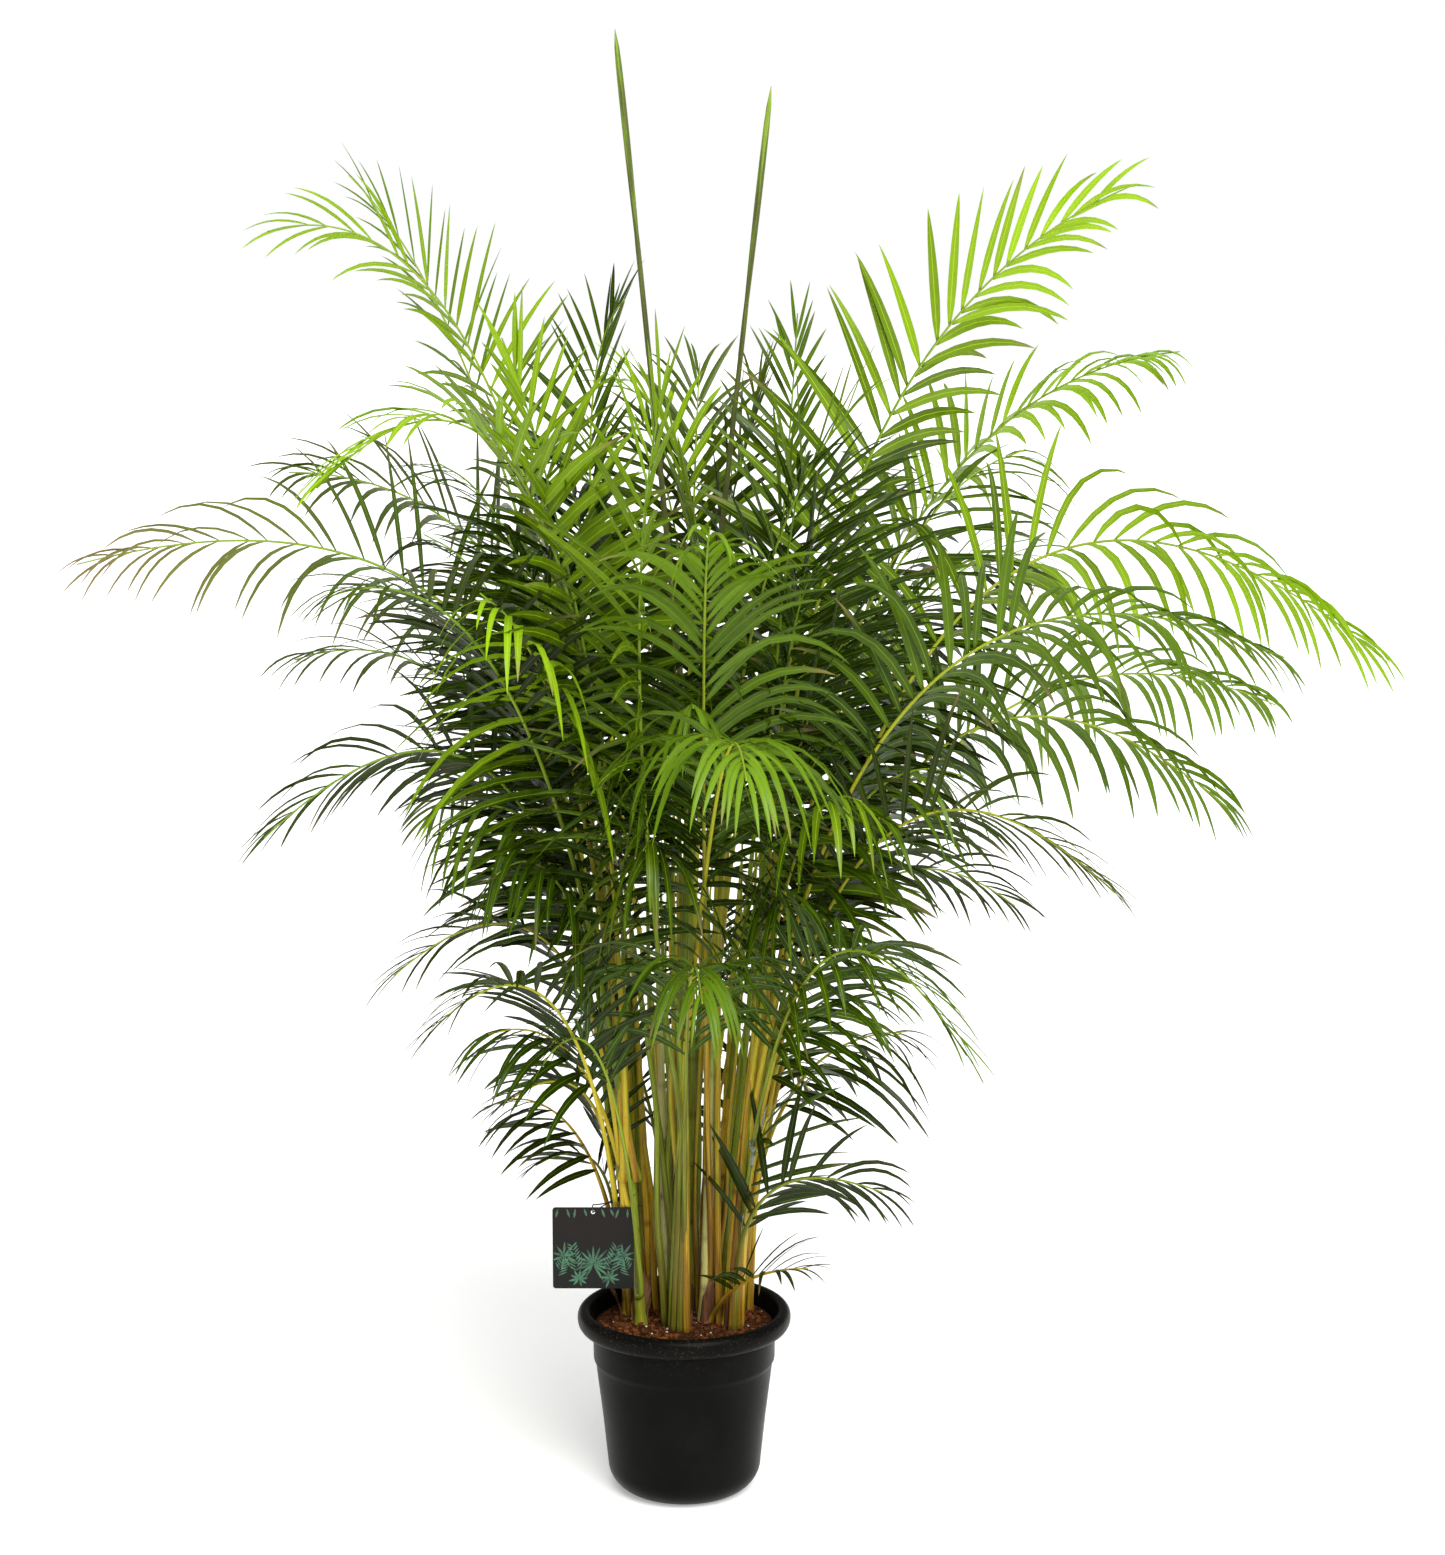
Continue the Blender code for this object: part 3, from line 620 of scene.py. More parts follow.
def push_cap(bm, cap, drop_old):
    """Extrude a cap, and drop the old one where it would be left inside."""
    grown = bmesh.ops.extrude_face_region(bm, geom=[cap])["geom"]
    pushed = [g for g in grown if isinstance(g, bmesh.types.BMFace)][0]
    if drop_old:
        bmesh.ops.delete(bm, geom=[cap], context="FACES_ONLY")
    return pushed


def face_outwards(bm):
    """Turn every face of closed shells outwards."""
    bmesh.ops.recalc_face_normals(bm, faces=bm.faces)
    if bm.calc_volume(signed=True) < 0:
        bmesh.ops.reverse_faces(bm, faces=bm.faces)


def spun(bm, profile, steps):
    """Spin a line of (radius, height) points into a closed solid."""
    line = [bm.verts.new((r, 0, z)) for r, z in profile]
    edges = [bm.edges.new(pair) for pair in zip(line, line[1:])]
    bmesh.ops.spin(bm, geom=line + edges, axis=UP, cent=(0, 0, 0), angle=2 * math.pi, steps=steps,
                   use_merge=True, use_duplicate=False)
    bmesh.ops.remove_doubles(bm, verts=bm.verts, dist=0.00001)
    face_outwards(bm)


def smooth_line(points, steps):
    """An open Catmull-Rom line through the points."""
    line = []
    for i in range(len(points) - 1):
        b, c = points[i], points[i + 1]
        a = points[i - 1] if i else b * 2 - c
        d = points[i + 2] if i + 2 < len(points) else c * 2 - b
        for s in range(steps):
            t = s / steps
            line.append(0.5 * (2 * b + (c - a) * t + (2 * a - 5 * b + 4 * c - d) * t * t
                               + (3 * b - a - 3 * c + d) * t ** 3))
    line.append(points[-1].copy())
    return line


class Line:
    """A line measured along its length."""

    def __init__(self, points):
        self.points = points
        steps = ((b - a).length for a, b in zip(points, points[1:]))
        self.marks = list(itertools.accumulate(steps, initial=0.0))
        self.length = self.marks[-1]

    def locate(self, distance):
        """The point before a distance, and the share of the step after it."""
        distance = max(0.0, min(self.length, distance))
        low = max(0, min(len(self.marks) - 2, bisect.bisect_right(self.marks, distance) - 1))
        step = self.marks[low + 1] - self.marks[low]
        return low, (distance - self.marks[low]) / step if step > 0 else 0.0

    def at(self, distance):
        """The place and the direction at a distance."""
        low, share = self.locate(distance)
        way = self.points[min(low + 2, len(self.points) - 1)] - self.points[max(0, low - 1)]
        return self.points[low].lerp(self.points[low + 1], share), way.normalized()


def grow_tube(bm, line, radii, sides, layers, runs, scars=None, side=None, flatten=None, index=0):
    """Extrude a round section along a line, with a map that runs round it and along it in metres."""
    surface, run_layer, scar_layer = layers
    bmesh.ops.create_circle(bm, cap_ends=True, segments=sides, radius=1)
    cap = bm.faces[:][-1]
    foot = cap
    across = side or line[1].cross(line[0] + Vector((0.3, 0.2, 0)))
    travelled = 0.0
    last = list(cap.verts)
    for i, spot in enumerate(line):
        way = (line[min(i + 1, len(line) - 1)] - line[max(i - 1, 0)]).normalized()
        across = across - way * across.dot(way)
        across.normalize()
        over = way.cross(across)
        if i:
            travelled += (spot - line[i - 1]).length
            cap = push_cap(bm, cap, i > 1)
            walls = {f for v in cap.verts for f in v.link_faces} - {cap}
        ring = list(cap.verts)
        squash = flatten[i] if flatten else 1.0
        for k, corner in enumerate(ring):
            angle = 2 * math.pi * k / sides
            corner.co = spot + across * math.cos(angle) * radii[i] + over * math.sin(angle) * radii[i] * squash
            corner[run_layer] = runs[i]
            corner[scar_layer] = scars[i] if scars else 0.0
        if i:
            before = travelled - (spot - line[i - 1]).length
            number = {v: k for k, v in enumerate(last)}
            number.update({v: k for k, v in enumerate(ring)})
            upper = set(ring)
            for wall in walls:
                wall.material_index = index
                marks = [number[loop.vert] for loop in wall.loops]
                wraps = max(marks) - min(marks) > sides / 2
                for loop, mark in zip(wall.loops, marks):
                    u = 1.0 if wraps and mark == 0 else mark / sides
                    loop[surface].uv = (u, travelled if loop.vert in upper else before)
        last = ring
    for face in (foot, cap):
        if face.is_valid:
            face.material_index = index


def tube_layers(bm):
    """The surface map, and how far along its colours and how scarred a stalk is at each corner."""
    return (bm.loops.layers.uv.new("surface"), bm.verts.layers.float.new("run"),
            bm.verts.layers.float.new("scar"))


# ---------------------------------------------------------------- reading the frame


def merged_copy(name):
    """A frame node's mesh with its loose triangles joined."""
    bm = bmesh.new()
    bm.from_mesh(frame["nodes"][name].data)
    bmesh.ops.remove_doubles(bm, verts=bm.verts, dist=MERGE_GAP)
    return bm


def read_rings(bm, ring_edge, loners):
    """Groups of corners that are joined by short edges, and which groups long edges join."""
    ring_of, rings = {}, []
    for vert in bm.verts:
        if vert in loners or vert in ring_of:
            continue
        ring_of[vert] = len(rings)
        ring, stack = [], [vert]
        while stack:
            here = stack.pop()
            ring.append(here)
            for edge in here.link_edges:
                other = edge.other_vert(here)
                if other in loners or other in ring_of or edge.calc_length() > ring_edge:
                    continue
                ring_of[other] = ring_of[here]
                stack.append(other)
        rings.append(ring)
    joined = [set() for _ in rings]
    for edge in bm.edges:
        a, b = (ring_of.get(v) for v in edge.verts)
        if a is not None and b is not None and a != b:
            joined[a].add(b)
            joined[b].add(a)
    return rings, ring_of, joined


def middle_of(points):
    return sum(points, Vector()) / len(points)


class FrondPlan:
    """The stalk's centre line, the sides of its blade and its leaflets' length, read from a frond node."""

    def __init__(self, name):
        bm = merged_copy(name)
        tips = {v for v in bm.verts if min(e.calc_length() for e in v.link_edges) > SPIKE_EDGE}
        rings, ring_of, joined = read_rings(bm, FROND_RING_EDGE, tips)
        size = [max((v.co - middle_of([w.co for w in ring])).length for v in ring) for ring in rings]
        ends = [i for i in range(len(rings)) if len(joined[i]) == 1]
        order = [max(ends, key=lambda i: size[i])]
        while True:
            ahead = [j for j in joined[order[-1]] if j not in order]
            if not ahead:
                break
            order.append(ahead[0])
        rank = {ring: k for k, ring in enumerate(order)}
        self.centres = [middle_of([v.co for v in rings[i]]) for i in order]
        spikes = []
        for tip in tips:
            foot = [e.other_vert(tip) for e in tip.link_edges]
            near = [rank[ring_of[v]] for v in foot if v in ring_of and ring_of[v] in rank]
            if not near:
                continue
            heart = middle_of([v.co for v in foot])
            spikes.append((min(near), heart, tip.co.copy()))
        spikes.sort(key=lambda s: s[0])
        self.line = Line(smooth_line(self.centres, PLAN_STEPS))
        self.leafy_from = self.line.marks[spikes[0][0] * PLAN_STEPS]
        self.reach = sorted((tip - heart).length for _, heart, tip in spikes)[int(len(spikes) * 0.8)] * 1.10
        self.sides = []
        last = None
        for step, heart, _ in spikes:
            across = heart - (self.centres[step] + self.centres[step + 1]) / 2
            across.normalize()
            if last is not None and across.dot(last) < 0:
                across = -across
            last = across
            before, after = (self.line.marks[k * PLAN_STEPS] for k in (step, step + 1))
            self.sides.append(((before + after) / 2, across))
        middle, way = self.line.at(self.line.length * 0.55)
        outward = middle - (self.centres[0] + self.centres[-1]) / 2
        if self.side_at(self.line.length * 0.55).cross(way).dot(outward) < 0:
            self.sides = [(mark, -across) for mark, across in self.sides]
        bm.free()

    def side_at(self, distance):
        marks = self.sides
        if distance <= marks[0][0]:
            return marks[0][1]
        for (low, a), (high, b) in zip(marks, marks[1:]):
            if distance <= high:
                return a.lerp(b, (distance - low) / max(1e-6, high - low)).normalized()
        return marks[-1][1]


class RodPlan:
    """Centre line and radius of a rod node, from its soil end to its top."""

    def __init__(self, name):
        bm = merged_copy(name)
        rings = read_rings(bm, ROD_RING_EDGE, set())[0]
        shaped = []
        for ring in rings:
            heart = middle_of([v.co for v in ring])
            shaped.append((heart, sum((v.co - heart).length for v in ring) / len(ring)))
        shaped.sort(key=lambda s: s[0].z)
        self.centres = [s[0] for s in shaped]
        self.radii = [s[1] for s in shaped]
        bm.free()

    def at_height(self, z):
        z = max(self.centres[0].z, min(self.centres[-1].z, z))
        for i in range(len(self.centres) - 1):
            low, high = self.centres[i], self.centres[i + 1]
            if z <= high.z:
                share = (z - low.z) / max(1e-6, high.z - low.z)
                return low.lerp(high, share), self.radii[i] + (self.radii[i + 1] - self.radii[i]) * share
        return self.centres[-1], self.radii[-1]


CANES = {name: RodPlan(name) for name in nodes_named("cane_")}
SOIL_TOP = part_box("soil")[1].z
TAG_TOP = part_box("hang_tag")[1].z


# ---------------------------------------------------------------- fronds


BLADE_STATIONS = (0.0, 0.05, 0.15, 0.30, 0.46, 0.62, 0.78, 0.91, 1.0)
BLADE_WIDTHS = (0.26, 0.50, 0.86, 1.0, 0.97, 0.83, 0.60, 0.31, 0.0)


def nearest_station(y):
    """The blade station that a corner of the template stands at."""
    return min(range(len(BLADE_STATIONS)), key=lambda k: abs(BLADE_STATIONS[k] - y))


def blade_template():
    """One flat leaflet of unit length along +Y: a thin lozenge section extruded and tapered to a point."""
    bm = bmesh.new()
    surface = bm.loops.layers.uv.new("surface")
    bm.verts.layers.float.new("tone")
    bm.verts.layers.float.new("dryness")
    bmesh.ops.create_circle(bm, cap_ends=True, segments=4, radius=1)
    bmesh.ops.rotate(bm, verts=bm.verts, cent=(0, 0, 0), matrix=Matrix.Rotation(math.pi / 2, 3, "X"))
    bmesh.ops.scale(bm, vec=(BLADE_WIDTHS[0], 1, 0.8), verts=bm.verts)
    cap = bm.faces[:][0]
    for i in range(1, len(BLADE_STATIONS)):
        cap = push_cap(bm, cap, i > 1)
        taper = max(1e-3, BLADE_WIDTHS[i]) / BLADE_WIDTHS[i - 1]
        step = BLADE_STATIONS[i] - BLADE_STATIONS[i - 1]
        bmesh.ops.scale(bm, vec=(taper, 1, 0.9), verts=cap.verts)
        bmesh.ops.translate(bm, vec=(0, step, 0), verts=cap.verts)
    bmesh.ops.pointmerge(bm, verts=cap.verts, merge_co=(0, 1, 0))
    face_outwards(bm)
    for edge in bm.edges:
        edge.smooth = not any(
            all(abs(v.co.z) < 1e-6 and (v.co.x * hand > 1e-4 or v.co.y == 1) for v in edge.verts)
            for hand in (1, -1))
    for face in bm.faces:
        for loop in face.loops:
            spot = loop.vert.co
            width = BLADE_WIDTHS[nearest_station(spot.y)]
            loop[surface].uv = (0.5 + 0.5 * spot.x / max(width, 0.02), spot.y)
    return mesh_from("leaflet_template", bm)


def blade_marks(template):
    """For each corner of the template: its station, its place across and its place through."""
    return [(nearest_station(vert.co.y), vert.co.x, vert.co.z) for vert in template.vertices]


class Leaflet:
    """A leaflet's place, size and bend."""

    def __init__(self, root, aim, face, length, width, weight, twist, fold):
        self.root, self.aim, self.face = root, aim.normalized(), face
        self.length, self.width, self.weight = length, width, weight
        self.twist, self.fold = twist, fold

    def frames(self):
        spots = []
        here, way, face = self.root.copy(), self.aim.copy(), self.face.copy()
        last = 0.0
        for mark in BLADE_STATIONS:
            step = mark - last
            last = mark
            if step:
                level = math.sqrt(max(0.0, 1 - way.z * way.z))
                way = (way + DOWN * self.weight * step * (0.35 + mark) * (0.35 + 0.65 * level)).normalized()
                here = here + way * step * self.length
            face = (face - way * face.dot(way)).normalized()
            turned = Matrix.Rotation(self.twist * mark, 3, way) @ face
            spots.append((here.copy(), way.cross(turned).normalized(), turned))
        return spots


def growth(share):
    """Leaflet length along the blade: longest a third of the way along, about half at the tip."""
    if share < 0.30:
        return 0.70 + 0.30 * share / 0.30
    return 1 - 0.52 * ((share - 0.30) / 0.70) ** 1.5


def leaflet_sweep(share):
    """Degrees by which a leaflet leans towards the tip, more so further along the blade."""
    return 28 + 26 * share + 24 * share ** 3


def add_leaflet(bm, template, marks, leaflet, thickness, tone, dryness, layers):
    """Copy the template into the frond and bend it to the leaflet's line."""
    tone_layer, dry_layer = layers
    start = len(bm.verts)
    bm.from_mesh(template)
    bm.verts.ensure_lookup_table()
    spots = leaflet.frames()
    for k, (station, across, through) in enumerate(marks):
        spot, side, face = spots[station]
        vert = bm.verts[start + k]
        offset = across * leaflet.width / 2
        sag = -abs(across) * leaflet.width / 2 * leaflet.fold
        vert.co = spot + side * offset + face * (through * thickness / 2 + sag)
        vert[tone_layer] = tone
        mark = BLADE_STATIONS[station]
        vert[dry_layer] = min(1.0, dryness[0] + dryness[1] * max(0.0, mark - 0.75) * 4)


class InnerPlan:
    """A frond of the inner crown on one arched curve, with the same facts as a frame frond's plan."""

    def __init__(self, base, bend, tip, roll, reach, leafy):
        curve = []
        for i in range(25):
            t = i / 24
            curve.append(base * (1 - t) ** 2 + bend * 2 * t * (1 - t) + tip * t * t)
        self.centres = curve[::3]
        self.line = Line(curve)
        self.leafy_from = self.line.length * leafy
        self.reach = reach
        self.roll = roll
        self.level = UP.cross(Vector((tip.x - base.x, tip.y - base.y, 0))).normalized()

    def side_at(self, distance):
        way = self.line.at(distance)[1]
        share = max(0.0, distance - self.leafy_from) / (self.line.length - self.leafy_from)
        return Matrix.Rotation(self.roll * share, 3, way) @ self.level


def stalk_path(plan, rng, rooted):
    """The stalk from the soil, or from its cane's sheath, up to the tip, with a radius at each point."""
    base = plan.centres[0]
    cane = min(CANES.values(), key=lambda c: (c.at_height(base.z)[0] - base).length)
    heart = cane.at_height(base.z)[0]
    out = Vector((base.x - heart.x, base.y - heart.y, 0))
    if out.length < 0.002:
        ahead = plan.line.at(plan.line.length)[0] - base
        out = Vector((ahead.x, ahead.y, 0)).normalized() * 0.012
    turn = math.atan2(out.y, out.x)
    drift = rng.uniform(-1.3, 1.3)
    foot = SOIL_TOP - SOIL_SINK
    if not rooted:
        foot = max(foot, base.z - rng.uniform(0.14, 0.32))
    if heart.x < -0.05 and heart.y < 0.045:
        foot = min(base.z - 0.01, max(foot, TAG_TOP + 0.04))
    points = []
    steps = max(2, int((base.z - foot) / 0.06))
    for i in range(steps):
        share = i / steps
        z = foot + (base.z - foot) * share
        heart, radius = cane.at_height(z)
        near = radius + 0.010 if rooted else radius * 0.55
        near += (out.length - near) * share
        angle = turn + drift * (1 - share)
        points.append(Vector((heart.x + near * math.cos(angle), heart.y + near * math.sin(angle), z)))
    points += plan.centres
    line = Line(smooth_line(points, 4))
    ahead = line.length - plan.line.length
    stout = 0.0056 if rooted else 0.0052
    radii = []
    for mark in line.marks:
        if mark < ahead:
            radii.append(stout + (STALK_RADIUS - stout) * mark / ahead)
        else:
            radii.append(STALK_RADIUS - STALK_TAPER * ((mark - ahead) / plan.line.length) ** 0.8)
    return line, radii


def grow_frond(name, plan, slot, settings, template, marks, rng, rooted=False, hang=1.0, dry_tip=False,
               shade=0.0, slim=1.0):
    """One frond: a stalk that leaves its sheath, arches over and carries two rows of leaflets."""
    bm = bmesh.new()
    layers = tube_layers(bm)
    tone_layer = bm.verts.layers.float.new("tone")
    dry_layer = bm.verts.layers.float.new("dryness")
    line, radii = stalk_path(plan, rng, rooted)
    shift = rng.uniform(-0.12, 0.16)
    runs = [min(1.0, max(0.0, shift + 0.85 * (spot.z - SOIL_TOP) / 1.15 + 0.30 * (mark / line.length) ** 3))
            for spot, mark in zip(line.points, line.marks)]
    grow_tube(bm, line.points, radii, STALK_SIDES, layers, runs, index=1)
    leafy = plan.line.length - plan.leafy_from
    grown = min(1.0, plan.reach / LONG_LEAFLET)
    pitch = settings.pitch * (0.50 + 0.50 * grown) * rng.uniform(0.92, 1.10) / slim ** 0.5
    broad = rng.uniform(0.88, 1.14) * LEAF_BREADTH[slot]
    # Each frond's tone varies at random, less its painted shade.
    frond_tone = rng.uniform(-0.14, 0.14) - shade
    count = max(8, int(leafy * LEAFY_SHARE / pitch))
    bare_below = BARE_BELOW if max(spot.z for spot in plan.centres) > LOW_CREST else 0.0
    for i in range(count + 1):
        share = (i + 0.2) / (count + 0.2)
        for hand in (1, -1):
            along = min(1.0, max(0.0, share + rng.uniform(-0.3, 0.3) / count))
            place = plan.leafy_from + leafy * LEAFY_SHARE * along
            spot, way = plan.line.at(place)
            if spot.z < bare_below + 0.05 * rng.random():
                continue
            side = plan.side_at(place) * hand
            side = (side - way * side.dot(way)).normalized()
            over = way.cross(side) * -hand
            sweep = math.radians(leaflet_sweep(share) + rng.uniform(-6, 6))
            rise = settings.rise * (1.15 - 0.85 * share) + math.radians(rng.uniform(-9, 9))
            flat = side * math.cos(sweep) + way * math.sin(sweep)
            aim = flat * math.cos(rise) + over * math.sin(rise)
            length = plan.reach * (1.62 - 0.56 * grown) * growth(share) * rng.uniform(0.88, 1.10)
            width = settings.width * broad * (0.62 + 0.38 * grown) * (0.56 + 0.44 * growth(share))
            width *= rng.uniform(0.84, 1.10) * slim * (1 - 0.34 * share * share)
            level = math.sqrt(max(0.0, 1 - way.z * way.z))
            weight = settings.droop * hang * (0.36 + 1.30 * level * level) * (0.40 + 0.80 * length / 0.2)
            weight *= rng.uniform(0.6, 1.3)
            radius = radii[line.locate(line.length - plan.line.length + place)[0]]
            leaflet = Leaflet(spot + side * radius * 0.6, aim, over, length, width, weight,
                              math.radians(rng.uniform(-28, 28)), rng.uniform(0.14, 0.32))
            # Painted light and shade: leaflets high up and far from the axis are painted lighter, those low
            # down and near the axis darker.
            height = (spot.z - SOIL_TOP) / (FRAME_BOX[1][2] - SOIL_TOP)
            outward = math.hypot(spot.x, spot.y) / 0.9
            tone = frond_tone - TONE_DROP + TONE_UP * height + TONE_OUT * outward + TONE_ALONG * share
            tone += rng.uniform(-0.15, 0.15)
            dryness = (0.0, 0.8 if rng.random() < 0.14 else 0.0)
            if dry_tip:
                dryness = (max(0.0, share - 0.45) * 1.5, 0.6)
            tone = min(LEAF_TONE_LIMIT, max(0.0, tone))
            add_leaflet(bm, template, marks, leaflet, settings.thickness, tone, dryness,
                        (tone_layer, dry_layer))
    leaf = leaf_material(f"Palm {slot.replace('_', ' ').title()}", tuple(getattr(settings, slot[5:])),
                         tuple(settings.dry))
    kind = ("Golden Stalk", "Green Stalk", "Amber Stalk", "Green Stalk", "Golden Stalk")[rng.randrange(5)]
    piece = add_piece(name, bm, [leaf, stalk_material(kind, STALK_STOPS[kind], STALK_MOTTLING)])
    return piece


# Fronds at the front and sides of the clump: turn from the front in degrees, height of the base, how
# far out and how high the bend and the tip are, roll in degrees, leaflet length, how much it hangs, slot
FRONT_FRONDS = (
    (-12, 0.58, 0.07, 0.94, 0.22, 0.96, 10, 0.23, 2.6, "leaf_bright"),
    (34, 0.58, 0.09, 0.98, 0.25, 1.02, -15, 0.22, 1.9, "leaf_bright"),
    (-40, 0.56, 0.09, 0.92, 0.24, 0.92, 15, 0.19, 1.8, "leaf_green"),
    (3, 0.66, 0.12, 1.10, 0.34, 1.16, 0, 0.24, 1.9, "leaf_green"),
    (56, 0.50, 0.07, 0.78, 0.18, 0.80, -10, 0.16, 2.1, "leaf_bright"),
    (-24, 0.62, 0.12, 1.12, 0.38, 1.30, 10, 0.24, 1.6, "leaf_bright"),
    (66, 0.60, 0.11, 1.02, 0.30, 1.04, -15, 0.21, 1.6, "leaf_green"),
    (48, 0.27, 0.03, 0.50, 0.08, 0.58, 15, 0.13, 1.0, "leaf_green"),
    (18, 0.62, 0.05, 0.86, 0.15, 0.88, 12, 0.20, 2.6, "leaf_green"),
    (-58, 0.64, 0.09, 1.00, 0.26, 0.98, -12, 0.20, 2.2, "leaf_green"),
    (-82, 0.34, 0.04, 0.52, 0.15, 0.56, 15, 0.13, 1.0, "leaf_dark"),
    (-66, 0.42, 0.05, 0.66, 0.20, 0.68, -15, 0.15, 1.2, "leaf_green"),
    (70, 0.44, 0.05, 0.70, 0.20, 0.74, 20, 0.16, 1.3, "leaf_green"),
    (100, 0.40, 0.04, 0.60, 0.22, 0.64, 20, 0.15, 1.2, "leaf_dark"),
)


def inner_plans(count, rng):
    """Plans for fronds that fill the crown's inside, spread all round it, then the front ones."""
    plans = []
    for i in range(count):
        angle = GOLDEN_TURN * i + rng.uniform(-0.3, 0.3)
        tier = i / count
        reach = 0.15 + 0.25 * ((i * 0.618) % 1.0) * (0.55 + 0.45 * tier)
        tip_height = 1.10 + 0.50 * tier - 0.30 * reach + rng.uniform(-0.05, 0.05)
        base_height = 0.50 + 0.20 * tier
        way = Vector((math.cos(angle), math.sin(angle), 0))
        base = cane_side(way, base_height)
        bend = base + way * reach * 0.28 + UP * (tip_height - base_height) * 0.92
        tip = Vector((0, 0, tip_height)) + way * (reach + 0.05) + Vector((base.x, base.y, 0)) * 0.5
        # Inner fronds low in the crown and away from the front take the dark leaf colour, partly as old leaves
        # and partly as painted shade; the lit front ones and the high ones take the green.
        front = way.y < -0.35
        slot = "leaf_green" if front or tier > 0.72 else "leaf_dark"
        plan = InnerPlan(base, bend, tip, rng.uniform(-0.6, 0.6), rng.uniform(0.19, 0.25), 0.42)
        plans.append((plan, slot, rng.uniform(0.45, 1.5)))
    for turn, low, bend_out, bend_high, tip_out, tip_high, roll, reach, hang, slot in FRONT_FRONDS:
        angle = math.radians(turn - 90)
        way = Vector((math.cos(angle), math.sin(angle), 0))
        base = cane_side(way, low)
        stand = Vector((base.x, base.y, 0))
        bend = stand + way * bend_out + UP * bend_high * 1.08
        tip = stand + way * tip_out + UP * tip_high
        plans.append((InnerPlan(base, bend, tip, math.radians(roll), reach, 0.40), slot, hang))
    return plans


def cane_side(way, height):
    """A point on the outside of the cane that stands furthest towards a direction, at a height."""
    hearts = [cane.at_height(height) for cane in CANES.values()]
    heart, radius = max(hearts, key=lambda h: h[0].x * way.x + h[0].y * way.y + 0.02 * noise.noise(h[0] * 60))
    return Vector((heart.x, heart.y, height)) + way * (radius + 0.003)


class PALM_OT_fronds(bpy.types.Operator):
    """Grow every frond's stalk and leaflets along its frame node"""
    bl_idname = "palm.fronds"
    bl_label = "Grow Fronds"

    def execute(self, context):
        settings = context.scene.palm_leaf
        template = blade_template()
        marks = blade_marks(template)
        for number, name in enumerate(nodes_named("frond_")):
            plan = FrondPlan(name)
            low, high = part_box(name)
            wispy = low.x < FRAME_BOX[0][0] + 0.01
            thin = low.x < -0.5 and high.z > 1.6
            hanging = high.x > FRAME_BOX[1][0] - 0.01
            piece = grow_frond(f"{name}_leaf", plan, SLOT_OF[name], settings, template, marks,
                               random.Random(100 + number), rooted=number % 2 == 0, dry_tip=wispy,
                               slim=0.60 if thin else 0.72 if wispy or hanging else 1.0,
                               hang=1.7 if high.x > 0.7 or (high.y < 0.1 and low.y < -0.6) else 1.0)
            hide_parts(name)
        rng = random.Random(11)
        # Inner fronds are painted darker as shade inside the crown and the front fronds painted lighter as
        # light, through their shade.
        for number, (plan, slot, hang) in enumerate(inner_plans(settings.inner, rng)):
            grow_frond(f"inner_frond_{number + 1:02d}", plan, slot, settings, template, marks, rng,
                       rooted=number % 2 == 0, hang=hang,
                       shade=INNER_PAINTED_SHADE if number < settings.inner else FRONT_PAINTED_SHADE)
        bpy.data.meshes.remove(template)
        return {"FINISHED"}


SPEAR_STOPS = ((0.0, (0.075, 0.080, 0.020)), (0.55, (0.070, 0.085, 0.020)), (0.80, (0.085, 0.115, 0.018)),
               (0.92, (0.15, 0.25, 0.022)), (1.0, (0.22, 0.36, 0.030)))


class PALM_OT_spears(bpy.types.Operator):
    """Grow the folded leaves that stand straight up out of the crown"""
    bl_idname = "palm.spears"
    bl_label = "Grow Spears"

    def execute(self, context):
        for name in nodes_named("spear_"):
            plan = RodPlan(name)
            line = smooth_line(plan.centres, 5)
            count = len(line) - 1
            radii = []
            for i in range(count + 1):
                share = i / count
                thick = 0.0046 - 0.0016 * share
                if share > 0.72:
                    thick = 0.0030 + 0.0016 * math.sin(math.pi * (share - 0.72) / 0.28 * 0.9)
                if share > 0.97:
                    thick *= (1.0 - share) / 0.03 * 0.9 + 0.1
                radii.append(thick)
            runs = [i / count for i in range(count + 1)]
            bm = bmesh.new()
            layers = tube_layers(bm)
            grow_tube(bm, line, radii, 8, layers, runs, side=Vector((1, 0, 0)),
                      flatten=[0.62] * len(line))
            face_outwards(bm)
            piece = add_piece(f"{name}_leaf", bm, [stalk_material("Palm Spear", SPEAR_STOPS, 0.45)])
            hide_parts(name)
        return {"FINISHED"}


# ---------------------------------------------------------------- canes


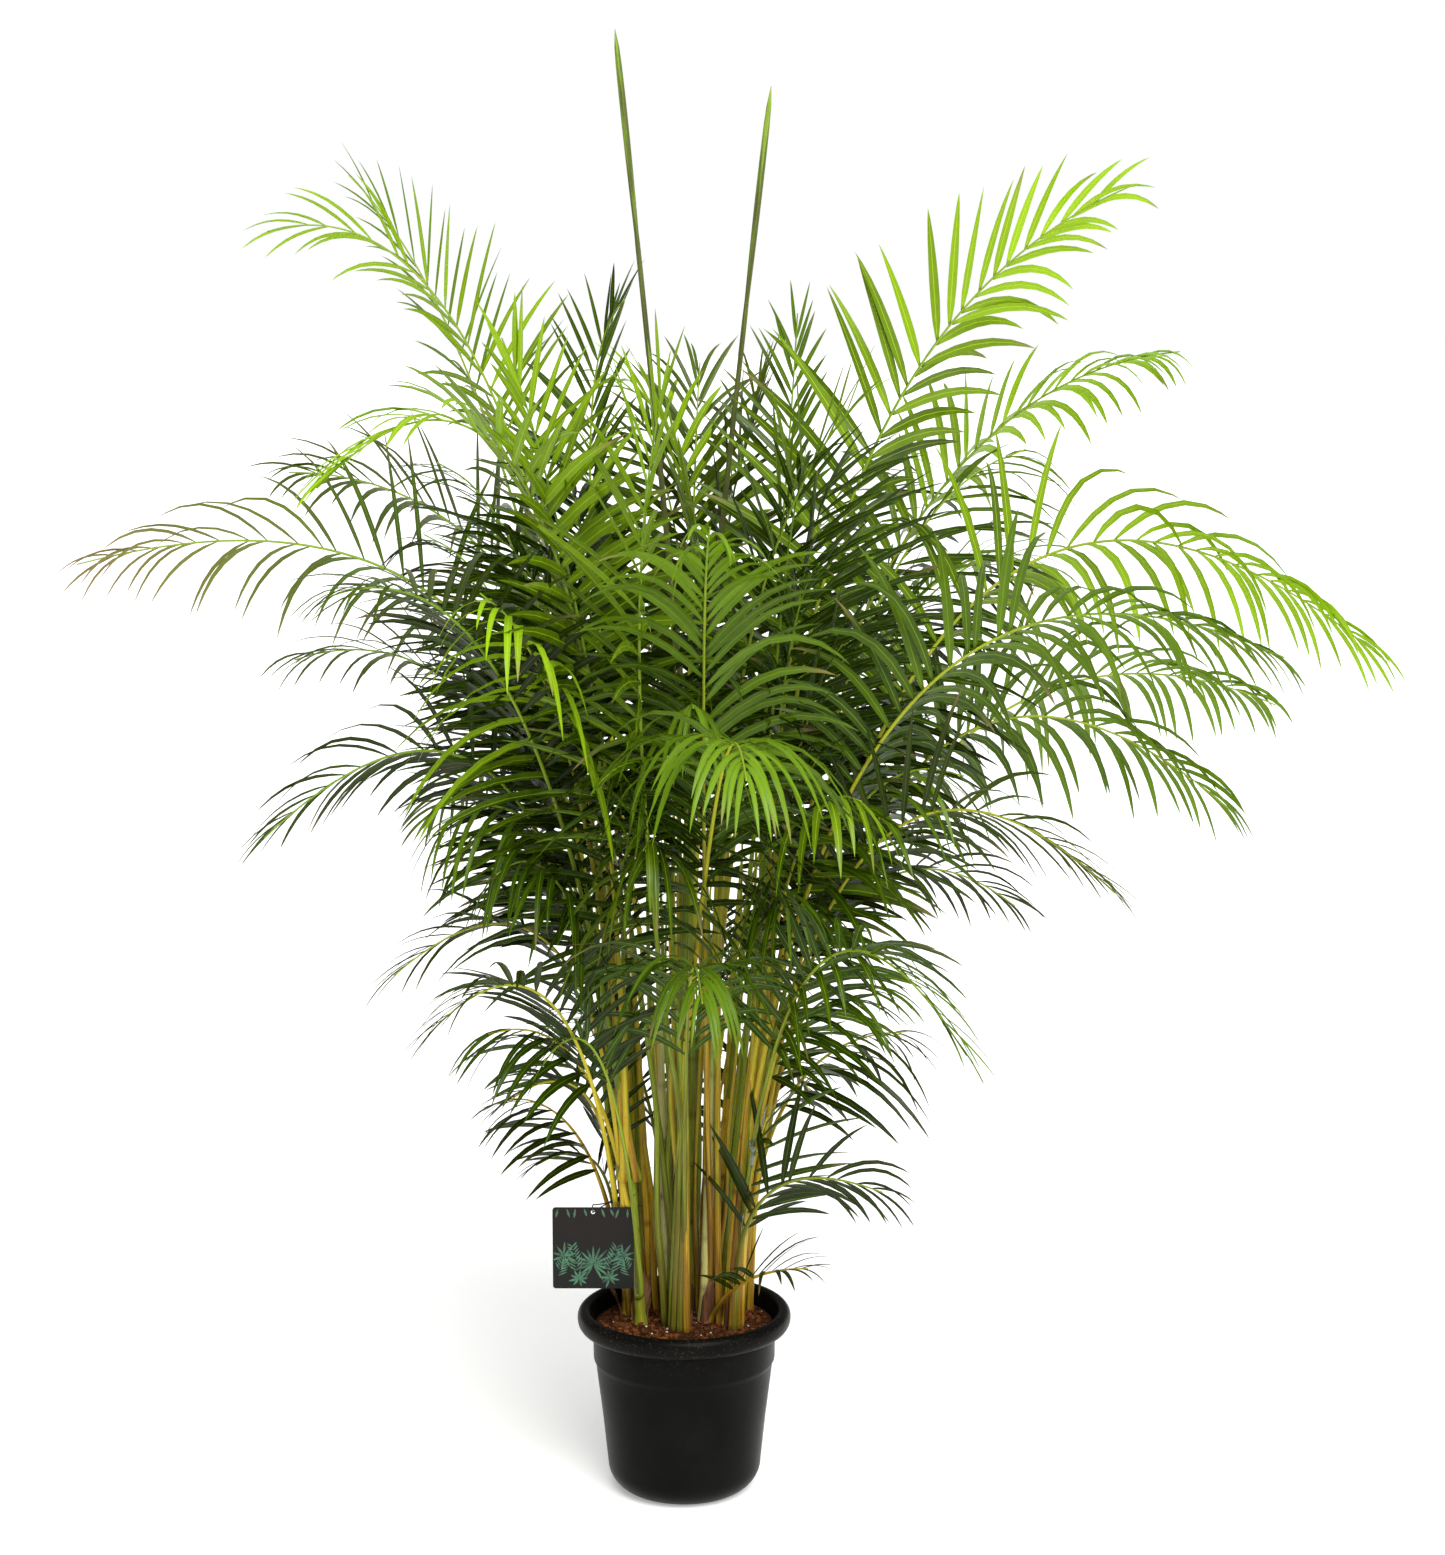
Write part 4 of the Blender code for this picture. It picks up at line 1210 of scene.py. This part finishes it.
def grow_cane(name, settings, rng):
    """A sheathed cane with leaf scars, golden at the foot and green above."""
    plan = CANES[name]
    bottom = SOIL_TOP - CANE_SINK
    top = plan.centres[-1].z
    stations = int((top - bottom) / CANE_STATION)
    line, radii, runs, scars = [], [], [], []
    offset = rng.uniform(0, settings.ring_pitch)
    shift = rng.uniform(-0.05, 0.25)
    for i in range(stations + 1):
        z = bottom + (top - bottom) * i / stations
        heart, radius = plan.at_height(z)
        spot = Vector((heart.x, heart.y, z))
        spot += Vector((noise.noise(spot * 5.0), noise.noise(spot * 5.0 + Vector((9, 0, 0))), 0)) * 0.0015
        phase = ((z + offset) % settings.ring_pitch) / settings.ring_pitch
        ridge = math.exp(-((phase - 0.5) * 22) ** 2)
        flare = 0.0035 * math.exp(-max(0.0, z - SOIL_TOP) / 0.018)
        share = (z - SOIL_TOP) / (top - SOIL_TOP)
        shape = radius * (0.88 - 0.36 * share) * (1.03 - 0.10 * phase) + ridge * RING_DEPTH + flare
        if z > top - 0.05:
            shape *= 0.30 + 0.70 * (top - z) / 0.05
        line.append(spot)
        radii.append(shape)
        scars.append(ridge * (0.9 if z < SOIL_TOP + 0.35 else 0.5))
        runs.append(min(1.0, max(0.0, shift + 0.75 * (z - SOIL_TOP) / 0.60 + rng.uniform(-0.02, 0.02))))
    bm = bmesh.new()
    layers = tube_layers(bm)
    grow_tube(bm, line, radii, 14, layers, runs, scars=scars)
    face_outwards(bm)
    return bm


def add_husks(settings, rng):
    """Dry, torn sheaths that stand round the foot of the clump."""
    bm = bmesh.new()
    surface = bm.loops.layers.uv.new("surface")
    for name in sorted(CANES):
        for _ in range(2):
            heart, radius = CANES[name].at_height(SOIL_TOP + 0.01)
            start_angle = rng.uniform(0, 2 * math.pi)
            spread = rng.uniform(1.2, 2.6)
            tall = rng.uniform(0.025, 0.085)
            lean = rng.uniform(0.04, 0.22)
            grid = bmesh.ops.create_grid(bm, x_segments=6, y_segments=7, size=0.5)["verts"]
            for vert in grid:
                u, v = vert.co.x + 0.5, vert.co.y + 0.5
                angle = start_angle + (u - 0.5) * spread * (1 - 0.45 * v)
                ragged = 1 - 0.35 * abs(u - 0.5) * 2 + 0.18 * noise.noise(Vector((u * 7, start_angle * 9, 0)))
                out = radius + 0.0022 + lean * tall * v * v
                spot = heart + Vector((math.cos(angle), math.sin(angle), 0)) * out
                vert.co = Vector((spot.x, spot.y, SOIL_TOP - SOIL_SINK + tall * v * ragged))
            for face in {f for v in grid for f in v.link_faces}:
                for loop in face.loops:
                    spot = loop.vert.co
                    loop[surface].uv = (math.atan2(spot.y - heart.y, spot.x - heart.x) / 6.28, spot.z)
    shell = bm.faces[:]
    bmesh.ops.recalc_face_normals(bm, faces=shell)
    bmesh.ops.solidify(bm, geom=shell, thickness=0.0007)
    bmesh.ops.recalc_face_normals(bm, faces=bm.faces)
    piece = add_piece("cane_husks", bm, [husk_material(tuple(settings.husk))])


def add_shoots(count, rng):
    """Thin young shoots that stand between the canes."""
    for kind in STALK_STOPS:
        bm = bmesh.new()
        layers = tube_layers(bm)
        for _ in range(count // 3):
            first, second = rng.sample(sorted(CANES), 2)
            blend = rng.uniform(0.05, 0.95)
            top = rng.uniform(0.62, 1.02)
            points = []
            for i in range(9):
                share = i / 8
                z = SOIL_TOP - SOIL_SINK + (top - SOIL_TOP) * share
                heart = CANES[first].at_height(z)[0].lerp(CANES[second].at_height(z)[0], blend)
                swing = Vector((noise.noise(heart * 6 + Vector((blend, 0, 0)) * 50),
                                noise.noise(heart * 6 + Vector((0, blend, 0)) * 90), 0)) * 0.012
                lean = Vector((heart.x, heart.y, 0)) * 0.22 * share
                points.append(Vector((heart.x, heart.y, z)) + swing + lean)
            line = smooth_line(points, 3)
            thick = rng.uniform(0.0024, 0.0054)
            shift = rng.uniform(-0.05, 0.15)
            radii = [thick * (1.15 - 0.75 * i / (len(line) - 1)) for i in range(len(line))]
            runs = [min(1.0, max(0.0, shift + 0.85 * (p.z - SOIL_TOP) / 1.0)) for p in line]
            grow_tube(bm, line, radii, STALK_SIDES, layers, runs)
        face_outwards(bm)
        material = stalk_material(kind, STALK_STOPS[kind], STALK_MOTTLING)
        piece = add_piece(f"shoots_{kind.split()[0].lower()}", bm, [material])


def cane_stops(foot, middle, top):
    """Colours up a cane, from its foot through its middle to its top."""
    return ((0.0, tuple(foot)), (0.18, tuple(foot.lerp(middle, 0.8))), (0.45, tuple(middle)),
            (0.75, tuple(middle.lerp(top, 0.7))), (1.0, tuple(top)))


class PALM_OT_canes(bpy.types.Operator):
    """Grow the ringed canes and the dry husks round their feet"""
    bl_idname = "palm.canes"
    bl_label = "Grow Canes"

    def execute(self, context):
        settings = context.scene.palm_stem
        rng = random.Random(7)
        husk, golden, fresh = Vector(settings.husk), Vector(settings.golden), Vector(settings.fresh)
        cream = Vector((0.60, 0.57, 0.20))
        kinds = [
            stalk_material("Golden Cane", cane_stops(husk.lerp(golden, 0.5), golden * 1.15, fresh * 1.1), 0.50),
            stalk_material("Pale Cane", cane_stops(cream * 0.8, cream, fresh * 1.2), 0.40),
            stalk_material("Green Cane", cane_stops(golden * 0.5, fresh * 0.50, fresh * 0.85), 0.50),
        ]
        for number, name in enumerate(sorted(CANES)):
            bm = grow_cane(name, settings, rng)
            piece = add_piece(f"{name}_sheath", bm, [kinds[(0, 2, 0, 1, 0, 2, 1, 0, 1, 0, 2, 0)[number % 12]]])
            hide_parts(name)
        add_shoots(settings.shoots, rng)
        add_husks(settings, rng)
        return {"FINISHED"}


# ---------------------------------------------------------------- pot and soil


def pot_profile(radius, height):
    """The nursery pot's section, up its inside, over the rolled rim and down its outside."""
    wall = 0.003
    corner = 0.040
    roll = 0.028
    half = 0.060 * radius

    def side(inset, steps):
        line = []
        for i in range(steps + 1):
            angle = -math.pi / 2 + math.pi / 2 * i / steps
            line.append((0.72 * radius - corner + (corner - inset) * math.cos(angle),
                         corner + (corner - inset) * math.sin(angle)))
        line += [(0.765 * radius - inset, 0.40 * height), (0.815 * radius - inset, 0.63 * height),
                 (0.828 * radius - inset, 0.695 * height), (0.832 * radius - inset, 0.703 * height),
                 (0.848 * radius - inset, 0.722 * height), (0.851 * radius - inset, 0.732 * height),
                 (0.855 * radius - inset, 0.87 * height)]
        return line

    bumps = [(2.10, 0.36), (1.85, 0.11), (1.30, 0.0), (0.65, 0.04), (0.15, 0.22), (0.0, 0.48),
             (0.15, 0.76), (0.60, 0.96), (1.20, 1.0)]
    knots = [Vector((radius - a * half, height - b * roll, 0)) for a, b in bumps]
    rim = [(p.x, p.y) for p in smooth_line(knots, 4)]
    return [(0, wall)] + side(wall, 8) + rim + side(0, 10)[::-1] + [(0, 0)]


def cut_holes(piece, radius, count, ring):
    """Cut round drain holes through the underside and keep the cut mesh."""
    bm = bmesh.new()
    for i in range(count):
        angle = 2 * math.pi * (i + 0.5) / count
        made = bmesh.ops.create_cone(bm, cap_ends=True, segments=24, radius1=radius, radius2=radius, depth=0.05)
        bmesh.ops.translate(bm, vec=(ring * math.cos(angle), ring * math.sin(angle), 0), verts=made["verts"])
    mesh = mesh_from("drain_cutter", bm)
    cutter = add_object("drain_cutter", mesh)
    modifier = piece.modifiers.new("Drain Holes", "BOOLEAN")
    modifier.object = cutter
    modifier.solver = "EXACT"
    bpy.context.view_layer.update()
    shaped = piece.evaluated_get(bpy.context.evaluated_depsgraph_get())
    cut = bpy.data.meshes.new_from_object(shaped)
    piece.modifiers.clear()
    old = piece.data
    piece.data = cut
    bpy.data.meshes.remove(old)
    bpy.data.objects.remove(cutter)
    bpy.data.meshes.remove(mesh)


class PALM_OT_pot(bpy.types.Operator):
    """Turn the nursery pot with its rolled rim and cut its drain holes"""
    bl_idname = "palm.pot"
    bl_label = "Turn Pot"

    def execute(self, context):
        settings = context.scene.palm_pot
        low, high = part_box("pot")
        radius = (high.x - low.x) / 2
        bm = bmesh.new()
        spun(bm, pot_profile(radius, high.z), settings.steps)
        piece = add_piece("nursery_pot", bm, [pot_material(tuple(settings.plastic), high.z - 0.005)])
        cut_holes(piece, 0.007, 8, 0.5 * radius)
        piece.data.set_sharp_from_angle(angle=math.radians(50))
        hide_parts("pot")
        return {"FINISHED"}


def soil_rise(x, y):
    """Height of the loose soil above its even level."""
    spot = Vector((x, y, 0))
    rise = 0.0045 * noise.noise(spot * 22) + 0.0022 * noise.noise(spot * 70) + 0.0012 * noise.noise(spot * 170)
    near = min((Vector((cane.centres[0].x, cane.centres[0].y, 0)) - spot).length for cane in CANES.values())
    return rise + 0.006 * math.exp(-near / 0.022) - 0.001


def soil_radius():
    low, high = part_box("soil")
    return (high.x - low.x) / 2


def loose_bits(name, count, sizes, flatness, material, rng, embed):
    """Scatter rough lumps over the soil, sunk into it by a share of their height."""
    reach = soil_radius() - 0.004
    bm = bmesh.new()
    tone = bm.verts.layers.float.new("tone")
    for _ in range(count):
        radius = sizes[0] + (sizes[1] - sizes[0]) * rng.random() ** 2.2
        distance = (reach - radius) * math.sqrt(rng.random())
        angle = rng.uniform(0, 2 * math.pi)
        x, y = distance * math.cos(angle), distance * math.sin(angle)
        shape = Vector((radius * rng.uniform(0.75, 1.5), radius * rng.uniform(0.6, 1.0),
                        radius * rng.uniform(*flatness)))
        lump = bmesh.ops.create_icosphere(bm, subdivisions=1, radius=1)["verts"]
        turn = Matrix.Rotation(rng.uniform(0, 6.28), 3, "Z") @ Matrix.Rotation(rng.uniform(-0.6, 0.6), 3, "X")
        shade = rng.random() ** 1.5
        z = SOIL_TOP + soil_rise(x, y) + shape.z * embed
        for vert in lump:
            rough = 1 + 0.28 * noise.noise(vert.co * 1.7 + Vector((x, y, 0)) * 400)
            vert.co = turn @ Vector((vert.co.x * shape.x, vert.co.y * shape.y, vert.co.z * shape.z)) * rough
            vert.co += Vector((x, y, z))
            vert[tone] = shade
    face_outwards(bm)
    piece = add_piece(name, bm, [material], smooth=False)


class PALM_OT_soil(bpy.types.Operator):
    """Fill the pot with rough soil, crumbs, bark and white grains"""
    bl_idname = "palm.soil"
    bl_label = "Fill Soil"

    def execute(self, context):
        settings = context.scene.palm_pot
        low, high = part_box("soil")
        radius = soil_radius()
        rings = 46
        profile = [(radius * i / rings, high.z) for i in range(rings + 1)]
        profile += [(radius, high.z - 0.012), (radius * 0.80, low.z + 0.03), (radius * 0.70, low.z + 0.004),
                    (0, low.z + 0.004)]
        bm = bmesh.new()
        spun(bm, profile, 150)
        tone = bm.verts.layers.float.new("tone")
        for vert in bm.verts:
            if vert.co.z > high.z - 0.001:
                edge = min(1.0, (radius - math.hypot(vert.co.x, vert.co.y)) / 0.004)
                vert.co.z += soil_rise(vert.co.x, vert.co.y) * max(0.0, edge)
                vert[tone] = 0.0
        face_outwards(bm)
        colour = tuple(settings.soil)
        piece = add_piece("soil_bed", bm, [soil_material("Potting Soil", colour, 0.55)])
        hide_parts("soil")
        rng = random.Random(21)
        crumb = soil_material("Soil Crumbs", tuple(c * 1.25 for c in colour), 0.9)
        bark = soil_material("Bark Chips", BARK, 0.7)
        loose_bits("soil_crumbs", settings.crumbs, (0.0014, 0.0056), (0.5, 0.9), crumb, rng, 0.35)
        loose_bits("bark_chips", BARK_CHIPS, (0.003, 0.0075), (0.25, 0.45), bark, rng, 0.4)
        loose_bits("white_grains", settings.grains, (0.0008, 0.0021), (0.7, 1.0), grain_material(), rng, 0.4)
        return {"FINISHED"}


# ---------------------------------------------------------------- hang tag


def add_print_leaf(bm, tone_layer, root, direction, length, width, shade, plane):
    """A pointed oval of ink on the card."""
    made = bmesh.ops.create_circle(bm, cap_ends=True, segments=10, radius=0.5)["verts"]
    aim = Vector((direction[0], 0, direction[1])).normalized()
    across = Vector((aim.z, 0, -aim.x))
    for vert in made:
        along = vert.co.x + 0.5
        thin = math.sin(math.pi * min(1.0, along)) ** 0.7
        vert.co = root + aim * along * length + across * vert.co.y * 2 * width * thin * 0.5
        vert.co.y = plane
        vert[tone_layer] = shade


# Sprays of printed leaves: place across and up the card, lean in degrees, for a fan its count of
# leaves, and size as a share of the card's height
FAN_SPRAYS = ((0.50, 0.30, 90, 15, 0.25), (0.14, 0.40, 50, 9, 0.18), (0.86, 0.40, 130, 9, 0.18),
              (0.32, 0.12, 80, 9, 0.13), (0.70, 0.13, 100, 9, 0.13))
FEATHER_SPRAYS = ((0.30, 0.22, 100, 0.34), (0.70, 0.20, 75, 0.36), (0.95, 0.16, 110, 0.30),
                  (0.06, 0.16, 70, 0.30))


def print_leaves(low, high, rng):
    """Generic leaf sprays printed on the lower half of the card and along its top edge."""
    bm = bmesh.new()
    tone = bm.verts.layers.float.new("tone")
    plane = low.y - 0.00006
    wide, tall = high.x - low.x, high.z - low.z

    def spot(u, v):
        return Vector((low.x + wide * u, plane, low.z + tall * v))

    planes = itertools.cycle([plane - INK_LAYER * k for k in range(INK_LAYERS)])
    for u, v, lean, count, size in FAN_SPRAYS:
        for i in range(count):
            angle = math.radians(lean - 150 + 300 * i / (count - 1))
            add_print_leaf(bm, tone, spot(u, v), (math.cos(angle), math.sin(angle)),
                           tall * size * rng.uniform(0.8, 1.05), wide * 0.030, rng.random(), next(planes))
    for u, v, lean, size in FEATHER_SPRAYS:
        rib = Vector((math.cos(math.radians(lean)), 0, math.sin(math.radians(lean))))
        for i in range(8):
            root = spot(u, v) + rib * tall * size * i / 8
            for hand in (1, -1):
                angle = math.radians(lean + hand * 48)
                reach = tall * size * 0.42 * (1 - 0.5 * i / 8)
                tip = root + Vector((math.cos(angle), 0, math.sin(angle))) * reach
                if not (low.x + 0.002 < tip.x < high.x - 0.002 and low.z + 0.002 < tip.z < high.z - 0.002):
                    continue
                add_print_leaf(bm, tone, root, (math.cos(angle), math.sin(angle)), reach, wide * 0.020,
                               rng.random(), next(planes))
    for i in range(9):
        u = 0.07 + 0.107 * i
        if abs(u - 0.5) < 0.08:
            continue
        root = spot(u, 0.985)
        add_print_leaf(bm, tone, root, (rng.uniform(-0.5, 0.5), -1), tall * rng.uniform(0.08, 0.14),
                       wide * 0.030, rng.random() * 0.7, next(planes))
    flat = bm.faces[:]
    for face in flat:
        if face.normal.y > 0:
            face.normal_flip()
    bmesh.ops.recalc_face_normals(bm, faces=flat)
    grown = bmesh.ops.extrude_face_region(bm, geom=flat)["geom"]
    bmesh.ops.translate(bm, vec=(0, INK_THICKNESS, 0),
                        verts=[g for g in grown if isinstance(g, bmesh.types.BMVert)])
    bmesh.ops.recalc_face_normals(bm, faces=bm.faces)
    return bm


class PALM_OT_tag(bpy.types.Operator):
    """Finish the hang tag, its printed leaves and its cord"""
    bl_idname = "palm.tag"
    bl_label = "Finish Hang Tag"

    def execute(self, context):
        for node, material in (("hang_tag", card_material()), ("tag_tie", cord_material())):
            materials = frame["nodes"][node].data.materials
            materials.clear()
            materials.append(material)
        low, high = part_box("hang_tag")
        sprays = print_leaves(low, high, random.Random(5))
        piece = add_piece("tag_print", sprays, [ink_material()], smooth=False)
        return {"FINISHED"}


# ---------------------------------------------------------------- stage


def add_sun(name, way, strength, spread, colour):
    data = bpy.data.lights.new(name, "SUN")
    data.energy = strength
    data.angle = math.radians(spread)
    data.color = colour
    add_object(name, data).rotation_euler = Vector(way).to_track_quat("-Z", "Y").to_euler()


def studio_world():
    """A white surround for the camera that lights the palm only weakly."""
    world = bpy.data.worlds.new("studio")
    world.use_nodes = True
    sky = world.node_tree
    seen = sky.nodes["Background"]
    lighting = sky.nodes.new("ShaderNodeBackground")
    for background, strength in ((seen, 1.0), (lighting, 0.22)):
        background.inputs["Color"].default_value = (1, 1, 1, 1)
        background.inputs["Strength"].default_value = strength
    path = sky.nodes.new("ShaderNodeLightPath")
    pick = sky.nodes.new("ShaderNodeMixShader")
    sky.links.new(path.outputs["Is Camera Ray"], pick.inputs[0])
    sky.links.new(lighting.outputs[0], pick.inputs[1])
    sky.links.new(seen.outputs[0], pick.inputs[2])
    sky.links.new(pick.outputs[0], sky.nodes["World Output"].inputs["Surface"])
    return world


class PALM_OT_stage(bpy.types.Operator):
    """Lay the floor, hang the soft lights and set up the camera"""
    bl_idname = "palm.stage"
    bl_label = "Set Stage"

    def execute(self, context):
        settings = context.scene.palm_stage
        scene = context.scene
        bm = bmesh.new()
        bmesh.ops.create_grid(bm, x_segments=1, y_segments=1, size=400)
        mesh = mesh_from("floor", bm)
        material, tree, shader = new_material("Studio Floor")
        soft = noise_node(tree, object_place(tree), 0.8, 1.0)
        shade = tuple(c * 0.985 for c in settings.floor)
        dress(tree, shader, mix_colour(tree, soft, shade, tuple(settings.floor)), 0.9)
        shader.inputs["Emission Color"].default_value = (1, 1, 1, 1)
        shader.inputs["Emission Strength"].default_value = 0.34
        mesh.materials.append(material)
        floor = add_object("floor", mesh)

        scene.world = studio_world()
        add_sun("key", (-0.24, 0.86, -1.02), 3.3, 40, (1.0, 0.99, 0.95))
        add_sun("side", (-0.62, 0.62, -0.70), 1.2, 60, (0.99, 1.0, 0.98))
        add_sun("top", (0.05, -0.15, -1.0), 0.6, 60, (1.0, 1.0, 1.0))

        data = bpy.data.cameras.new("camera")
        data.lens = settings.lens
        data.sensor_width = 36
        camera = add_object("camera", data)
        camera.location = (settings.camera_side, -settings.camera_distance, settings.camera_height)
        camera.rotation_euler = (math.pi / 2 - settings.camera_pitch, 0, 0)
        scene.camera = camera
        scene.view_settings.view_transform = "Standard"
        return {"FINISHED"}


# ---------------------------------------------------------------- add-on


class PALM_PT_panel(bpy.types.Panel):
    bl_idname = "PALM_PT_panel"
    bl_label = "Potted Palm"
    bl_space_type = "VIEW_3D"
    bl_region_type = "UI"
    bl_category = "Palm"

    def draw(self, context):
        layout = self.layout
        scene = context.scene
        for title, settings, operators in (
            ("Fronds", scene.palm_leaf, ("palm.fronds", "palm.spears")),
            ("Canes", scene.palm_stem, ("palm.canes",)),
            ("Pot and Soil", scene.palm_pot, ("palm.pot", "palm.soil", "palm.tag")),
            ("Stage", scene.palm_stage, ("palm.stage",)),
        ):
            box = layout.box()
            box.label(text=title)
            for name in settings.__annotations__:
                box.prop(settings, name)
            for operator in operators:
                box.operator(operator)


CLASSES = (
    PalmLeafSettings, PalmStemSettings, PalmPotSettings, PalmStageSettings,
    PALM_OT_pot, PALM_OT_soil, PALM_OT_canes, PALM_OT_fronds, PALM_OT_spears, PALM_OT_tag,
    PALM_OT_stage, PALM_PT_panel,
)
SETTINGS = {
    "palm_leaf": PalmLeafSettings,
    "palm_stem": PalmStemSettings,
    "palm_pot": PalmPotSettings,
    "palm_stage": PalmStageSettings,
}


def register():
    for cls in CLASSES:
        bpy.utils.register_class(cls)
    for name, cls in SETTINGS.items():
        setattr(bpy.types.Scene, name, bpy.props.PointerProperty(type=cls))


def unregister():
    for name in SETTINGS:
        delattr(bpy.types.Scene, name)
    for cls in reversed(CLASSES):
        bpy.utils.unregister_class(cls)


def main():
    register()
    bpy.ops.palm.pot()
    bpy.ops.palm.soil()
    bpy.ops.palm.canes()
    bpy.ops.palm.fronds()
    bpy.ops.palm.spears()
    bpy.ops.palm.tag()
    bpy.ops.palm.stage()


if __name__ == "__main__":
    main()
